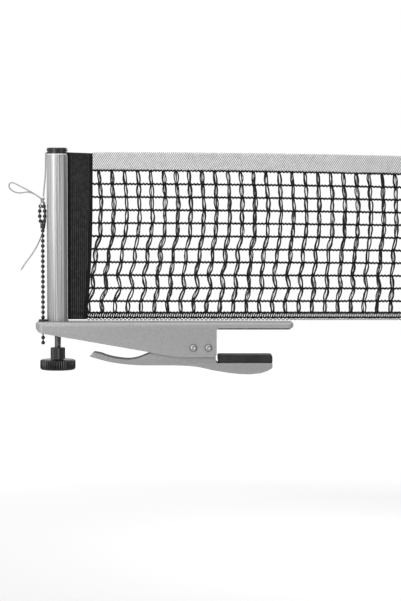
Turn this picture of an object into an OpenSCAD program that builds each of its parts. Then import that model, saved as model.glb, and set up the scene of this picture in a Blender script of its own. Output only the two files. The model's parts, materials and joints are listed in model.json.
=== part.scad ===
/* [Clamp body] */
// Distance from the table edge to the post axis
post_reach = 137.4; // [120:0.1:160]
// Length of body beyond the post axis
nose_reach = 18.6; // [17:0.1:24]
// Reach of the upper jaw over the table top
jaw_reach = 66; // [50:1:90]
// Outer width of the pressed channel
body_w = 28; // [27:0.5:34]
// Steel sheet thickness of the body
sheet = 2; // [1.5:0.1:2.5]
// Outer radius of the bend along both top edges
bend_r = 4; // [3:0.25:5]
// Depth of the flanges below the table top at the rivets
flange_drop = 23.5; // [22.8:0.5:30]
// Depth of the flanges below the table top at the nose
nose_drop = 2.3; // [1:0.1:4]
// Height of the jaw's flange edges above the table top
rim_gap = 1.2; // [0.5:0.1:2.5]

/* [Grip] */
// Gap between the jaws' rubbers with the lever on its stop
table_t = 22; // [19:0.5:22]
// Thickness of the rubber under the upper jaw
pad_t = 4.5; // [3.5:0.25:6]
// Thickness of the rubber on the lower jaw
low_pad_t = 7; // [5:0.5:8]
// How far the lower jaw's tip stays behind the upper jaw's tip
jaw_setback = 18; // [12:1:20]

/* [Lever] */
// Distance from the table edge back to the pivot
pivot_back = 20.1; // [19:0.1:24]
// Depth of the pivot below the table top
pivot_drop = 15.7; // [14.5:0.1:16.5]
// Length of the handle from the pivot
handle = 89.5; // [80:0.5:100]
// Steel sheet thickness of the lever
lever_sheet = 1.6; // [1.2:0.1:2]
// Gap between lever and body on each side
side_gap = 0.6; // [0.55:0.05:1]
// Shank diameter of both rivets
rivet_d = 4.5; // [4:0.1:5]
// Head diameter of both rivets
rivet_head_d = 6.5; // [6:0.1:7.5]
// Distance between the rivets
rivet_pitch = 12.9; // [12.5:0.1:14]
// Angle the lever opens from its stop
open_deg = 14; // [8:1:16]
// Wire diameter of the torsion spring
spring_wire = 2.2; // [1.8:0.1:2.3]
// Mean coil radius of the torsion spring
spring_r = 6.5; // [6.2:0.1:7]
// Whole turns of the torsion spring
spring_turns = 5; // [3:1:5]

/* [Post] */
// Outer diameter of the post
post_d = 18.3; // [17.5:0.1:18.8]
// Wall of the post
post_wall = 1.5; // [1.2:0.1:1.8]
// Width of the slot for the net sleeve
post_slot = 5; // [4.4:0.1:5.5]
// Height of the top of the post above the table top
post_top = 151; // [146:0.5:160]
// Height of the visible part of the cap
cap_h = 5.2; // [4:0.2:7]
// Lowest the post moves from rest
lift_down = 1.5; // [0.5:0.5:1.5]
// Highest the post moves from rest
lift_up = 4; // [2:0.5:4]

/* [Height screw] */
// Diameter of the height screw
screw_d = 6; // [5:0.25:6.5]
// Diameter of the knob wheel
knob_d = 30.6; // [26:0.2:36]
// Height of the knob wheel
knob_h = 8.9; // [6:0.1:12]
// Diameter of the knob hub
hub_d = 12.7; // [11:0.1:15]
// Height of the knob hub
hub_h = 10.4; // [8:0.1:14]
// Depth of the hub's top below the table top
hub_drop = 16.1; // [14:0.1:20]
// Number of grip flutes
flutes = 30; // [20:1:36]

/* [Net] */
// Height of the net's top edge above the table top
net_top = 152.4; // [148:0.5:158]
// Sag of the top edge at the far end
net_sag = 3.6; // [0:0.1:6]
// Height of the hem's bottom edge above the table top
net_foot = 8.2; // [8.1:0.1:9]
// Height of the white tape
tape_h = 14.6; // [10:0.2:18]
// Height of the bottom hem
hem_h = 5.2; // [4:0.1:6]
// Distance from one net thread to the next
mesh_pitch = 11.24; // [10.5:0.01:12]
// Number of upright threads
threads = 24; // [8:1:25]
// Rows of openings
rows = 11; // [6:1:11]
// Width of a net thread
thread_w = 1.3; // [0.8:0.1:1.8]
// Thickness of the net
thread_t = 1.2; // [0.8:0.1:1.6]
// Width of the black sleeve outside the post
sleeve_w = 21.4; // [16:0.2:28]
// Thickness of the black sleeve
sleeve_t = 2.4; // [1.6:0.1:3]
// Diameter of the rod in each sleeve
rod_d = 5; // [4:0.25:5]

/* [Chain and cord] */
// Ball diameter of the chain
ball_d = 3.2; // [2.8:0.1:3.3]
// Distance from ball to ball
ball_pitch = 4.4; // [4.2:0.1:5]
// Distance from the post to the chain's middle
chain_gap = 3.55; // [3.2:0.05:3.8]
// Balls above the lock plate
balls_up = 18; // [12:1:18]
// Balls below the lock plate
balls_down = 5; // [3:1:8]
// Thickness of the lock plate
lock_t = 0.9; // [0.7:0.05:1]
// Diameter of the net cord
cord_d = 1.3; // [1:0.1:1.4]

/* [Hidden] */
$fn = 48;

STEEL = [0.72, 0.73, 0.73];
BLACK = [0.1, 0.1, 0.1];
BRIGHT = [0.8, 0.8, 0.82];
ALUMINIUM = [0.76, 0.77, 0.78];
WHITE = [0.9, 0.9, 0.9];

// Clearances and small sizes that several pieces share
EPS = 0.01;
RUN = 0.05;
SLIDE = 0.1;
FAR = 200;
CORNER = 6;
LIP = 1.6;
CORD_PLAY = 0.05;
cord_z = cord_d / 2 + CORD_PLAY;

body_top = pad_t + sheet;
body_end = -(post_reach + nose_reach);
inner_w = body_w - 2 * sheet;
post_x = -post_reach;
post_r = post_d / 2;
bore_r = post_r - post_wall;
chain_x = post_x - post_r - chain_gap;

pivot = [-pivot_back, 0, -pivot_drop];
rivet_r = rivet_d / 2;
lever_w = inner_w - 2 * side_gap;
ear_inside = lever_w / 2 - lever_sheet;
low_jaw_top = -table_t - low_pad_t;
low_jaw = jaw_reach - jaw_setback;

// Unit vector along v
function unit(v) = v / norm(v);

// The shorter turn from angle a to angle b
function turn(a, b) = let (d = (b - a) % 360) d > 180 ? d - 360 : d < -180 ? d + 360 : d;

// Points of the arc of radius r that rounds corner q between p and s
function corner(p, q, s, r, n = CORNER) =
    let (
        a = unit(p - q),
        b = unit(s - q),
        half = acos(a * b) / 2,
        c = q + unit(a + b) * r / sin(half),
        from = q + a * r / tan(half) - c,
        to = q + b * r / tan(half) - c,
        start = atan2(from[1], from[0]),
        sweep = turn(start, atan2(to[1], to[0]))
    )
    [for (i = [0:n]) c + r * [cos(start + sweep * i / n), sin(start + sweep * i / n)]];

// A closed outline from rows of [x, z, corner radius]
function outline(rows) =
    let (n = len(rows), at = function(i) [rows[i % n][0], rows[i % n][1]])
    [for (i = [0:n - 1]) each corner(at(i + n - 1), at(i), at(i + 1), rows[i][2])];

// Smooth curve through rows of numbers, steps points for each gap
function smooth(rows, steps) =
    let (last = len(rows) - 1)
    [
        for (i = [0:last - 1], k = [0:steps - 1])
            let (
                t = k / steps,
                a = rows[max(i - 1, 0)],
                b = rows[i],
                c = rows[i + 1],
                d = rows[min(i + 2, last)]
            )
            0.5 * (2 * b + (c - a) * t + (2 * a - 5 * b + 4 * c - d) * t * t
                + (3 * b - a - 3 * c + d) * t * t * t),
        rows[last]
    ];

// Triangles between ring i and ring i + 1 of n-sided rings, and the two end fans
function tube_faces(rings, n) = [
    for (i = [0:rings - 2], k = [0:n - 1])
        let (a = i * n + k, b = i * n + (k + 1) % n)
        each [[a, b, b + n], [a, b + n, a + n]],
    for (k = [1:n - 2]) [0, k + 1, k],
    for (k = [1:n - 2]) [(rings - 1) * n, (rings - 1) * n + k, (rings - 1) * n + k + 1]
];

// Round tube along points that never run straight along Y
module tube(points, r, sides = 8) {
    last = len(points) - 1;
    rings = [
        for (i = [0:last])
            let (
                t = unit(points[min(i + 1, last)] - points[max(i - 1, 0)]),
                u = unit(cross([0, 1, 0], t)),
                v = cross(t, u)
            )
            for (k = [0:sides - 1])
                points[i] + r * (cos(360 * k / sides) * u + sin(360 * k / sides) * v)
    ];
    polyhedron(rings, tube_faces(last + 1, sides), convexity = 10);
}

// Least distance between points of a path that are more than skip steps apart
function least_gap(points, skip) = min([
    for (i = [0:len(points) - skip - 1], j = [i + skip:len(points) - 1])
        norm(points[i] - points[j])
]);

// Extrusion of a drawing in the XZ plane, centred on Y
module across(w) {
    rotate([90, 0, 0]) translate([0, 0, -w / 2]) linear_extrude(w) children();
}

// Extrusion of a drawing in the YZ plane from x0 to x1
module along(x0, x1) {
    translate([x0, 0, 0]) rotate([90, 0, 90]) linear_extrude(x1 - x0) children();
}

// Round bar across the body at x, z
module crossbar(r, w, at) {
    translate([at[0], 0, at[2]]) rotate([90, 0, 0]) cylinder(r = r, h = w, center = true);
}

// Rectangle with round corners from [x0, y0] to [x1, y1]
module round_box(x0, y0, x1, y1, r) {
    translate([x0 + r, y0]) square([x1 - x0 - 2 * r, y1 - y0]);
    translate([x0, y0 + r]) square([x1 - x0, y1 - y0 - 2 * r]);
    for (x = [x0 + r, x1 - r], y = [y0 + r, y1 - r]) translate([x, y]) circle(r);
}

// ---- Clamp body ----

NOSE_R = 7;
JAW_TIP_R = 6;
HEEL_R = 2.5;
ROOT_R = 2;
TIP_EDGE_R = 2.4;
TAPER_R = 30;
TAPER_LENGTH = 34.5;
LIP_R = 2.5;
toe_r = 1.05 * (body_top + nose_drop - LIP_R);

module body_side() {
    polygon(outline([
        [body_end, body_top, LIP_R],
        [jaw_reach, body_top, TIP_EDGE_R],
        [jaw_reach, rim_gap, TIP_EDGE_R],
        [0, rim_gap, ROOT_R],
        [0, -flange_drop, HEEL_R],
        [-TAPER_LENGTH, -flange_drop, TAPER_R],
        [body_end, -nose_drop, toe_r]
    ]));
}

// Channel section, round along both top edges
module channel(w, top, r) {
    translate([-w / 2, -FAR]) square([w, FAR + top - r]);
    translate([r - w / 2, 0]) square([w - 2 * r, top]);
    for (side = [-1, 1]) translate([side * (w / 2 - r), top - r]) circle(r);
}

// Seen from above, with a round nose and jaw tip
module plan(inset) {
    w = body_w / 2 - inset;
    round_box(body_end + inset, -w, 0, w, NOSE_R - inset);
    round_box(-body_w, -w, jaw_reach - inset, w, JAW_TIP_R - inset);
}

module clamp_body() {
    color(STEEL) difference() {
        intersection() {
            across(body_w) body_side();
            along(body_end, jaw_reach) channel(body_w, body_top, bend_r);
            translate([0, 0, -FAR / 2]) linear_extrude(FAR) plan(0);
        }
        intersection() {
            along(body_end, jaw_reach) channel(inner_w, pad_t, bend_r - sheet);
            translate([0, 0, -FAR / 2]) linear_extrude(FAR) plan(sheet);
        }
        translate([post_x, 0, 0]) cylinder(r = guide_collar_r, h = FAR);
        lock_hole();
        crossbar(rivet_r, FAR, pivot);
        crossbar(rivet_r, FAR, stop_at);
    }
}

// Rubber under the upper jaw
PAD_SIDE_GAP = 0.4;
PAD_BACK = 4;

module jaw_pad_upper() {
    w = inner_w / 2 - PAD_SIDE_GAP;
    x1 = jaw_reach - sheet - PAD_SIDE_GAP;
    r = JAW_TIP_R - sheet;
    bevel = bend_r - sheet;
    color(BLACK) intersection() {
        linear_extrude(pad_t) round_box(-PAD_BACK, -w, x1, w, r);
        along(-PAD_BACK, x1) channel(2 * w, pad_t, bevel);
    }
}

// ---- Pivot, stop and spring ----

stop_at = pivot + [rivet_pitch, 0, 0];
HEAD_H = 2;
DIMPLE_R = 1;

// Domed head on the flange, with a small dimple at its crown
module rivet_head() {
    half = rivet_head_d / 2;
    ball = (half * half + HEAD_H * HEAD_H) / (2 * HEAD_H);
    difference() {
        intersection() {
            translate([0, 0, HEAD_H - ball]) sphere(ball);
            cylinder(r = half, h = HEAD_H);
        }
        translate([0, 0, HEAD_H + DIMPLE_R / 2]) sphere(DIMPLE_R);
    }
}

module rivet(at) {
    crossbar(rivet_r, body_w, at);
    for (side = [-1, 1])
        translate([at[0], side * body_w / 2, at[2]]) rotate([-side * 90, 0, 0]) rivet_head();
}

module pivot_rivet() {
    color(BRIGHT) rivet(pivot);
}

module stop_rivet() {
    color(BRIGHT) rivet(stop_at);
}

BUSH_WALL = 1.75;
WASHER_R = 6;

module pivot_bush() {
    w = 2 * (ear_inside - SLIDE);
    color(BRIGHT) difference() {
        crossbar(rivet_r + BUSH_WALL, w, pivot);
        crossbar(rivet_r, w + 1, pivot);
    }
}

// One nylon washer on each side, between ear and flange
module pivot_washers() {
    color(BLACK) difference() {
        crossbar(WASHER_R, inner_w, pivot);
        crossbar(WASHER_R + 1, lever_w + 2 * SLIDE, pivot);
        crossbar(rivet_r, body_w, pivot);
    }
}

// ---- Lever ----

// Handle: share of its length from the pivot, lower edge and upper edge below the pivot
HANDLE_ROWS = [
    [-1.00, -7.9, -4.3],
    [-0.91, -10.2, -5.5],
    [-0.83, -12.1, -7.5],
    [-0.74, -13.6, -9.3],
    [-0.64, -14.7, -10.3],
    [-0.56, -15.2, -9.6],
    [-0.49, -15.5, -7.6],
    [-0.42, -15.5, -5.0],
    [-0.30, -15.5, -1.2],
    [-0.18, -15.5, 2.4]
];
TIP_SLANT = 3.6;
EAR_TOP = 5.4;
BEND = 3;
BEND_STEPS = 4;
JAW_BELLY = 10;
EAR_GAP = 1.4;

// Height of the lever's lower edge at a share of the handle's length
function lever_low_z(share) = pivot[2] + lookup(share, [for (r = HANDLE_ROWS) [r[0], r[1]]]);

// Lower and upper edge points, as [low x, low z, high x, high z]
function handle_row(r) =
    let (x = pivot[0] - EPS + handle * r[0], slant = TIP_SLANT * max(0, (-r[0] - 0.83) / 0.17))
    [x, pivot[2] + r[1], x + slant, pivot[2] + r[2]];

ear_x = -EAR_GAP;
jaw_low = low_jaw_top - JAW_BELLY;
lever_rows = concat(
    smooth([for (r = HANDLE_ROWS) handle_row(r)], 3),
    [
        [pivot[0] - 8, pivot[2] - 15.8, pivot[0] - 8, pivot[2] + EAR_TOP - 0.6],
        [pivot[0] - 4, pivot[2] - 16, pivot[0] - 4, pivot[2] + EAR_TOP],
        [pivot[0] + 4, pivot[2] - 16.9, pivot[0] + 4, pivot[2] + EAR_TOP],
        [pivot[0] + 12, pivot[2] - 18.6, pivot[0] + 12, pivot[2] + EAR_TOP],
        [ear_x - 3, low_jaw_top - 6.3, ear_x - 3, pivot[2] + EAR_TOP - 0.8],
        [ear_x, low_jaw_top - 6.8, ear_x, pivot[2] + EAR_TOP - 3.6],
        [ear_x + 0.8, low_jaw_top - 6.9, ear_x + 0.8, low_jaw_top + 1],
        [ear_x + 2, low_jaw_top - 7.1, ear_x + 2, low_jaw_top],
        [low_jaw * 0.2, low_jaw_top - 8.6, low_jaw * 0.2, low_jaw_top],
        [low_jaw * 0.4, low_jaw_top - 9.7, low_jaw * 0.4, low_jaw_top],
        [low_jaw * 0.6, jaw_low, low_jaw * 0.6, low_jaw_top],
        [low_jaw * 0.8, low_jaw_top - 8.9, low_jaw * 0.8, low_jaw_top],
        [low_jaw * 0.92, low_jaw_top - 6.9, low_jaw * 0.92, low_jaw_top],
        [low_jaw, low_jaw_top - 4.6, low_jaw, low_jaw_top]
    ]
);

// One side of the lever's section: half width and rise from the lower edge, inset by the wall
function half_section(inset) = let (r = BEND - inset) [
    for (k = [0:BEND_STEPS])
        let (a = 90 * k / BEND_STEPS)
        [lever_w / 2 - BEND + r * sin(a), BEND - r * cos(a)]
];

// Section of points from the upper edge round the web to the other upper edge
function lever_ring(row, inset) =
    let (
        low = [row[0], row[1]],
        high = [row[2], row[3]],
        rise = norm(high - low),
        dir = (high - low) / rise,
        half = half_section(inset),
        side = concat(half, [[lever_w / 2 - inset, rise]]),
        n = len(side) - 1
    )
    [
        for (i = [0:n]) let (p = side[n - i], q = low + dir * p[1]) [q[0], -p[0], q[1]],
        for (i = [0:n]) let (p = side[i], q = low + dir * p[1]) [q[0], p[0], q[1]]
    ];

// Open channel lofted through the rows: outer skin, inner skin, rims and end faces
module channel_loft(rows) {
    n = len(lever_ring(rows[0], 0));
    last = len(rows) - 1;
    points = [for (r = rows) each concat(lever_ring(r, 0), lever_ring(r, lever_sheet))];
    at = function(i, k, inner) i * 2 * n + (inner ? n : 0) + k;
    faces = [
        for (i = [0:last - 1], k = [0:n - 2]) each [
            [at(i, k, false), at(i, k + 1, false), at(i + 1, k + 1, false)],
            [at(i, k, false), at(i + 1, k + 1, false), at(i + 1, k, false)],
            [at(i, k, true), at(i + 1, k + 1, true), at(i, k + 1, true)],
            [at(i, k, true), at(i + 1, k, true), at(i + 1, k + 1, true)]
        ],
        for (i = [0:last - 1]) each [
            [at(i, 0, false), at(i + 1, 0, false), at(i + 1, 0, true)],
            [at(i, 0, false), at(i + 1, 0, true), at(i, 0, true)],
            [at(i, n - 1, false), at(i + 1, n - 1, true), at(i + 1, n - 1, false)],
            [at(i, n - 1, false), at(i, n - 1, true), at(i + 1, n - 1, true)]
        ],
        for (k = [0:n - 2]) each [
            [at(0, k, false), at(0, k + 1, true), at(0, k + 1, false)],
            [at(0, k, false), at(0, k, true), at(0, k + 1, true)],
            [at(last, k, false), at(last, k + 1, false), at(last, k + 1, true)],
            [at(last, k, false), at(last, k + 1, true), at(last, k, true)]
        ]
    ];
    polyhedron(points, faces, convexity = 10);
}

// Curved slot in both ears: the stop rivet ends the lever's closing at its lower end
STOP_CLEAR = 0.2;
SLOT_STEPS = 8;

function polar(r, a) = r * [cos(a), sin(a)];

module stop_slot() {
    r = rivet_r + STOP_CLEAR;
    shares = [for (i = [0:SLOT_STEPS]) i / SLOT_STEPS];
    across(body_w) translate([pivot[0], pivot[2]]) polygon(concat(
        [for (t = shares) polar(rivet_pitch + r, open_deg * t)],
        [for (t = shares) if (t > 0 && t < 1) polar(rivet_pitch, open_deg) + polar(r, open_deg + 180 * t)],
        [for (t = shares) polar(rivet_pitch - r, open_deg * (1 - t))],
        [for (t = shares) if (t > 0 && t < 1) polar(rivet_pitch, 0) + polar(r, 180 * (t + 1))]
    ));
}

module lever_arm() {
    color(STEEL) difference() {
        channel_loft(lever_rows);
        crossbar(rivet_r + RUN, body_w, pivot);
        stop_slot();
    }
}

// Rubber block on the lower jaw, with a tongue between the flanges
LOW_PAD_R = 3.5;
TONGUE = 3;

module jaw_pad_lower() {
    x0 = ear_x + 2;
    w = lever_w - 1;
    color(BLACK) union() {
        across(w) polygon(outline([
            [x0, -table_t, 1.5],
            [low_jaw, -table_t, 2],
            [low_jaw, low_jaw_top, 1],
            [x0, low_jaw_top, LOW_PAD_R]
        ]));
        translate([x0 + LOW_PAD_R, -ear_inside, low_jaw_top - TONGUE])
            cube([low_jaw - x0 - LOW_PAD_R - 2, 2 * ear_inside, TONGUE + EPS]);
    }
}

// ---- Spring ----

// Torsion spring: a lower leg on the lever, the coil round the bush, an upper leg on the body
UPPER_LEG = 140;
LOWER_LEG = 208;
SPRING_RINGS = 8;
SPRING_SEAT = 0.05;
coil_pitch = spring_wire + 0.6;
coil_end = UPPER_LEG - 90 + 360 * spring_turns;
coil_start = LOWER_LEG - 270;
coil_sweep = coil_end - coil_start;
coil_steps = round(coil_sweep / 360 * SPRING_RINGS);

function coil_point(a) =
    pivot + [spring_r * cos(a), ((a - coil_start) / coil_sweep - 0.5) * coil_w, spring_r * sin(a)];
coil_w = coil_pitch * coil_sweep / 360;
upper_seat = pad_t - spring_wire / 2 - SPRING_SEAT;
lower_seat = lever_low_z(-0.18) + lever_sheet + spring_wire / 2 + 0.4;

// Point where a leg that leaves p at the given angle reaches height z
function leg_end(p, angle, z) =
    let (s = (z - p[2]) / sin(angle)) p + s * [cos(angle), 0, sin(angle)];

spring_coil = [for (i = [0:coil_steps]) coil_point(coil_start + coil_sweep * i / coil_steps)];
spring_path = concat(
    [leg_end(spring_coil[0], LOWER_LEG, lower_seat)],
    spring_coil,
    [leg_end(spring_coil[coil_steps], UPPER_LEG, upper_seat)]
);

module torsion_spring() {
    echo(spring_gap = least_gap(spring_coil, SPRING_RINGS - 1) - spring_wire);
    color(BRIGHT) tube(spring_path, spring_wire / 2, 6);
}

// ---- Post carrier inside the nose ----

BRIDGE_T = 1.8;
BOSS_WALL = 2;
SKIRT = 0.9;
BOSS_TOP = 5.5;
POST_SINK = 0.5;
COLLAR_WALL = 0.4;
GUIDE_LEFT = 1.1;
GUIDE_RIGHT = 3;
BRIDGE_LEFT = 7.1;
BRIDGE_RIGHT = 9.4;

screw_r = screw_d / 2;
post_foot_z = -POST_SINK;
bridge_top = post_foot_z - lift_down - SLIDE;
boss_r = min(screw_r + BOSS_WALL, bore_r - LIP - SLIDE - SKIRT);
guide_r = post_r + SLIDE;
guide_collar_r = guide_r + COLLAR_WALL;

// Steel cross plate that joins the flanges and carries the screw's thread
module screw_bridge() {
    color(BRIGHT) difference() {
        union() {
            translate([post_x - BRIDGE_LEFT, -inner_w / 2, bridge_top - BRIDGE_T])
                cube([BRIDGE_LEFT + BRIDGE_RIGHT, inner_w, BRIDGE_T]);
            translate([post_x, 0, bridge_top - EPS]) cylinder(r = boss_r, h = BOSS_TOP - bridge_top);
        }
        translate([post_x, 0, -FAR / 2]) cylinder(r = screw_r + RUN, h = FAR);
    }
}

// Plastic guide under the top plate, with a collar that lines the hole
module post_guide() {
    w = inner_w / 2 - SLIDE;
    x0 = post_x - guide_r - GUIDE_LEFT;
    x1 = post_x + guide_r + GUIDE_RIGHT;
    color(BLACK) difference() {
        union() {
            intersection() {
                translate([0, 0, bridge_top]) linear_extrude(pad_t - bridge_top)
                    round_box(x0, -w, x1, w, 1);
                along(x0, x1) channel(2 * w, pad_t, bend_r - sheet);
            }
            translate([post_x, 0, 0]) cylinder(r = guide_collar_r, h = body_top);
        }
        translate([post_x, 0, -FAR / 2]) cylinder(r = guide_r, h = FAR);
    }
}

// ---- Chain lock ----

LOCK_HALF_X = 2.5;
LOCK_FRONT = -6.2;
LOCK_BACK = 4;
LOCK_LIP = 0.9;
LOCK_RISE = 0.7;
LOCK_KEY_PLAY = 0.2;
LOCK_KEY_Y = -3.2;
LOCK_SLOT = 1.5;
lock_bottom = body_top + LOCK_RISE;
lock_top = lock_bottom + lock_t;
key_r = ball_d / 2 + LOCK_KEY_PLAY;

module lock_outline(grow) {
    round_box(chain_x - LOCK_HALF_X - grow, LOCK_FRONT - grow,
        chain_x + LOCK_HALF_X + grow, LOCK_BACK + grow, 1.5);
}

module lock_hole() {
    linear_extrude(FAR) lock_outline(0);
}

// Insert with a keyhole: a ball drops in at the round end and locks in the slot
module chain_lock() {
    color(BLACK) difference() {
        union() {
            translate([0, 0, pad_t]) linear_extrude(lock_top - pad_t) lock_outline(0);
            translate([0, 0, body_top]) linear_extrude(lock_top - body_top)
                intersection() {
                    lock_outline(LOCK_LIP);
                    translate([post_x - post_r - SLIDE - FAR, -FAR / 2]) square(FAR);
                }
        }
        translate([chain_x, LOCK_KEY_Y, 0]) cylinder(r = key_r, h = FAR);
        translate([chain_x - LOCK_SLOT / 2, LOCK_KEY_Y, 0]) cube([LOCK_SLOT, -LOCK_KEY_Y, FAR]);
        translate([chain_x, 0, 0]) cylinder(r = LOCK_SLOT / 2, h = FAR);
        translate([chain_x - key_r, LOCK_KEY_Y, -1])
            cube([2 * key_r, -LOCK_KEY_Y, lock_bottom + 1]);
        translate([chain_x, 0, -1]) cylinder(r = key_r, h = lock_bottom + 1);
    }
}

// ---- Ball chain and cord ----

BALL_GAP = 0.1;
LINK_R = 0.45;
LOOP_R = 2.6;
LOOP_BALLS = 8;
LOOP_SHIFT = -0.4;
LOOP_TURN = -32;
COUPLING_R = 2.1;
COUPLING_H = 4.5;
COUPLING_WALL = 0.5;
COUPLING_SEAM = 0.7;

ball_low = lock_bottom - ball_d / 2 - BALL_GAP;
ball_high = lock_top + ball_d / 2 + 2 * BALL_GAP;
strand_top = ball_high + (balls_up - 1) * ball_pitch;
coupling_z = strand_top + ball_d / 2 + 4 * BALL_GAP;
loop_low = coupling_z + COUPLING_H + 0.9;
loop_side = (LOOP_BALLS * ball_pitch - 2 * PI * LOOP_R) / 2;
loop_high = loop_low + loop_side + 2 * LOOP_R;
link_rise = LOOP_R * (1 - cos(ball_pitch / LOOP_R * 90 / PI));

// Point at distance s round the chain's loop, from its lowest point, in the loop's own plane
function loop_point(s) =
    let (
        quarter = PI * LOOP_R / 2,
        total = 2 * loop_side + 4 * quarter,
        d = s % total,
        up = d > total / 2 ? total - d : d,
        side = d > total / 2 ? -1 : 1,
        low = up < quarter,
        high = up > quarter + loop_side,
        a = low ? up / LOOP_R : high ? (up - quarter - loop_side) / LOOP_R : 0,
        deg = a * 180 / PI,
        x = low ? LOOP_R * sin(deg) : high ? LOOP_R * cos(deg) : LOOP_R,
        z = low ? LOOP_R * (1 - cos(deg))
            : high ? LOOP_R + loop_side + LOOP_R * sin(deg)
            : LOOP_R + up - quarter
    )
    [side * x, 0, loop_low + z];

module rod_between(a, b, r) {
    d = b - a;
    translate(a) rotate([0, acos(d[2] / norm(d)), atan2(d[1], d[0])]) cylinder(r = r, h = norm(d));
}

// Into the plane of the chain's loop
module at_loop() {
    translate([chain_x + LOOP_SHIFT, 0, 0]) rotate(LOOP_TURN) children();
}

module ball_chain() {
    bottom = ball_low - (balls_down - 1) * ball_pitch;
    color(BRIGHT) union() {
        for (i = [0:balls_down - 1])
            translate([chain_x, 0, ball_low - i * ball_pitch]) sphere(d = ball_d);
        for (i = [0:balls_up - 1])
            translate([chain_x, 0, ball_high + i * ball_pitch]) sphere(d = ball_d);
        translate([chain_x, 0, bottom]) cylinder(r = LINK_R, h = loop_low + link_rise - bottom);
        at_loop() for (i = [0:LOOP_BALLS - 1]) {
            translate(loop_point((i + 0.5) * ball_pitch)) sphere(d = ball_d);
            rod_between(loop_point((i + 0.5) * ball_pitch), loop_point((i + 1.5) * ball_pitch), LINK_R);
        }
    }
}

// Hollow barrel that joins the strand to the loop, open along one side
module chain_coupling() {
    color(BRIGHT) translate([chain_x, 0, coupling_z]) difference() {
        cylinder(r = COUPLING_R, h = COUPLING_H);
        translate([0, 0, COUPLING_WALL])
            cylinder(r = COUPLING_R - COUPLING_WALL, h = COUPLING_H - 2 * COUPLING_WALL);
        translate([0, 0, -1]) cylinder(r = LINK_R, h = COUPLING_H + 2);
        translate([0, -COUPLING_SEAM / 2, -1]) cube([FAR, COUPLING_SEAM, COUPLING_H + 2]);
    }
}

// Knot in the cord: its eye hangs in the top link of the chain's loop
KNOT_R = 1.9;
LUMP_R = 1.6;
LUMP = [0.9, 0, 0.8];
EYE_R = 2.35;

knot_x = chain_x - 0.3;
eye_z = loop_high - link_rise - LINK_R - cord_z + EYE_R;
knot_z = eye_z + EYE_R + KNOT_R + cord_d / 2 - 0.5;

// The cord's way out of the cap: distance out from the post, and height above the post's top
CORD_MOUTH = [[-5.2, 0.7], [-2.6, 0.7], [-0.3, 0.7], [0.27, 0.65], [0.65, 0.27], [0.75, -0.4]];
// Down to the knot: share of the way out to the chain, and share of the height above the knot
CORD_DOWN = [
    [0.21, 0.95], [0.24, 0.87], [0.24, 0.78], [0.27, 0.68], [0.32, 0.58], [0.39, 0.48],
    [0.48, 0.38], [0.60, 0.27], [0.71, 0.17], [0.79, 0.0625]
];
// The bow and the loose end, measured from the knot's middle
CORD_LOOP = [
    [-1.6, -0.75, 1.4], [-4.3, -0.95, 3.3], [-7.7, -1.1, 5.6], [-11.7, -1.2, 7.9],
    [-15.7, -1.3, 10], [-19.7, -1.2, 12], [-23.1, -1, 13.8], [-25.9, -0.6, 14.7],
    [-27.9, 0, 13.8], [-28.7, 0.5, 11.8], [-27.9, 1, 9.6], [-25.7, 1.3, 7.6], [-22.7, 1.4, 6.2],
    [-19.2, 1.4, 5.8], [-15.7, 1.3, 6.3], [-12.1, 1.2, 6.5], [-8.3, 1.1, 5.4],
    [-4.7, 0.95, 3.6], [-1.6, 0.75, 1.2]
];
CORD_TAIL = [
    [0.55, 2.05, -0.9], [1.6, 3.4, -3], [2, 3.7, -6], [2.4, 3.6, -9.2], [2.7, 3.5, -12.4],
    [2.7, 3.4, -15.6], [2.4, 3.3, -19], [1.7, 3.2, -22.8], [0.6, 3, -26.6], [-0.6, 2.8, -30.2],
    [-2, 2.6, -33.8], [-3.6, 2.4, -37.4], [-5.4, 2.2, -41], [-7.4, 2, -44.4], [-9.6, 1.8, -47.8],
    [-12, 1.6, -51], [-14.4, 1.4, -54.2], [-16.6, 1.2, -57.4], [-18.6, 1, -60.6]
];

function from_knot(points) = [for (p = points) p + [knot_x, 0, knot_z]];

module tension_cord() {
    post_left = post_x - post_r;
    color(WHITE) tube(concat(
        [for (p = CORD_MOUTH) [post_left - p[0], 0, post_top + p[1]]],
        [for (p = CORD_DOWN) [post_left - p[0] * chain_gap, 0, knot_z + p[1] * (post_top - knot_z)]]
    ), cord_d / 2);
}

module cord_loop() {
    color(WHITE) tube(from_knot(CORD_LOOP), cord_d / 2);
}

module cord_tail() {
    color(WHITE) tube(from_knot(CORD_TAIL), cord_d / 2);
}

// Two lumps of the knot, and the eye
module cord_knot() {
    color(WHITE) union() {
        translate([knot_x, 0, knot_z]) sphere(KNOT_R);
        translate([knot_x, 0, knot_z] + LUMP) sphere(LUMP_R);
        at_loop() translate([0, 0, eye_z]) rotate([0, 90, 0]) rotate_extrude()
            translate([EYE_R, 0]) circle(cord_d / 2);
    }
}

// ---- Post ----

GROOVE_R = 0.45;
GROOVE_OUT = 0.16;
GROOVES = [-97, -82, -72, 72, 82, 97];
MOUTH_R = 2.6;
PLUG_T = 3.3;
PLUG_H = 6;
CAP_GROOVE = 0.6;
CAP_EDGE = 1.2;
CAP_INSET = 0.1;
RIM_SHARE = 0.32;
STEP_IN = 0.7;

module post_section() {
    lip_x = bore_r - LIP;
    difference() {
        union() {
            difference() {
                circle(post_r);
                circle(bore_r);
            }
            intersection() {
                circle(post_r);
                translate([lip_x, -post_slot / 2 - post_wall])
                    square([post_r - lip_x, post_slot + 2 * post_wall]);
            }
        }
        translate([0, -post_slot / 2]) square([post_r + 1, post_slot]);
        for (a = GROOVES) rotate(a) translate([post_r + GROOVE_OUT, 0]) circle(GROOVE_R);
    }
}

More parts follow.
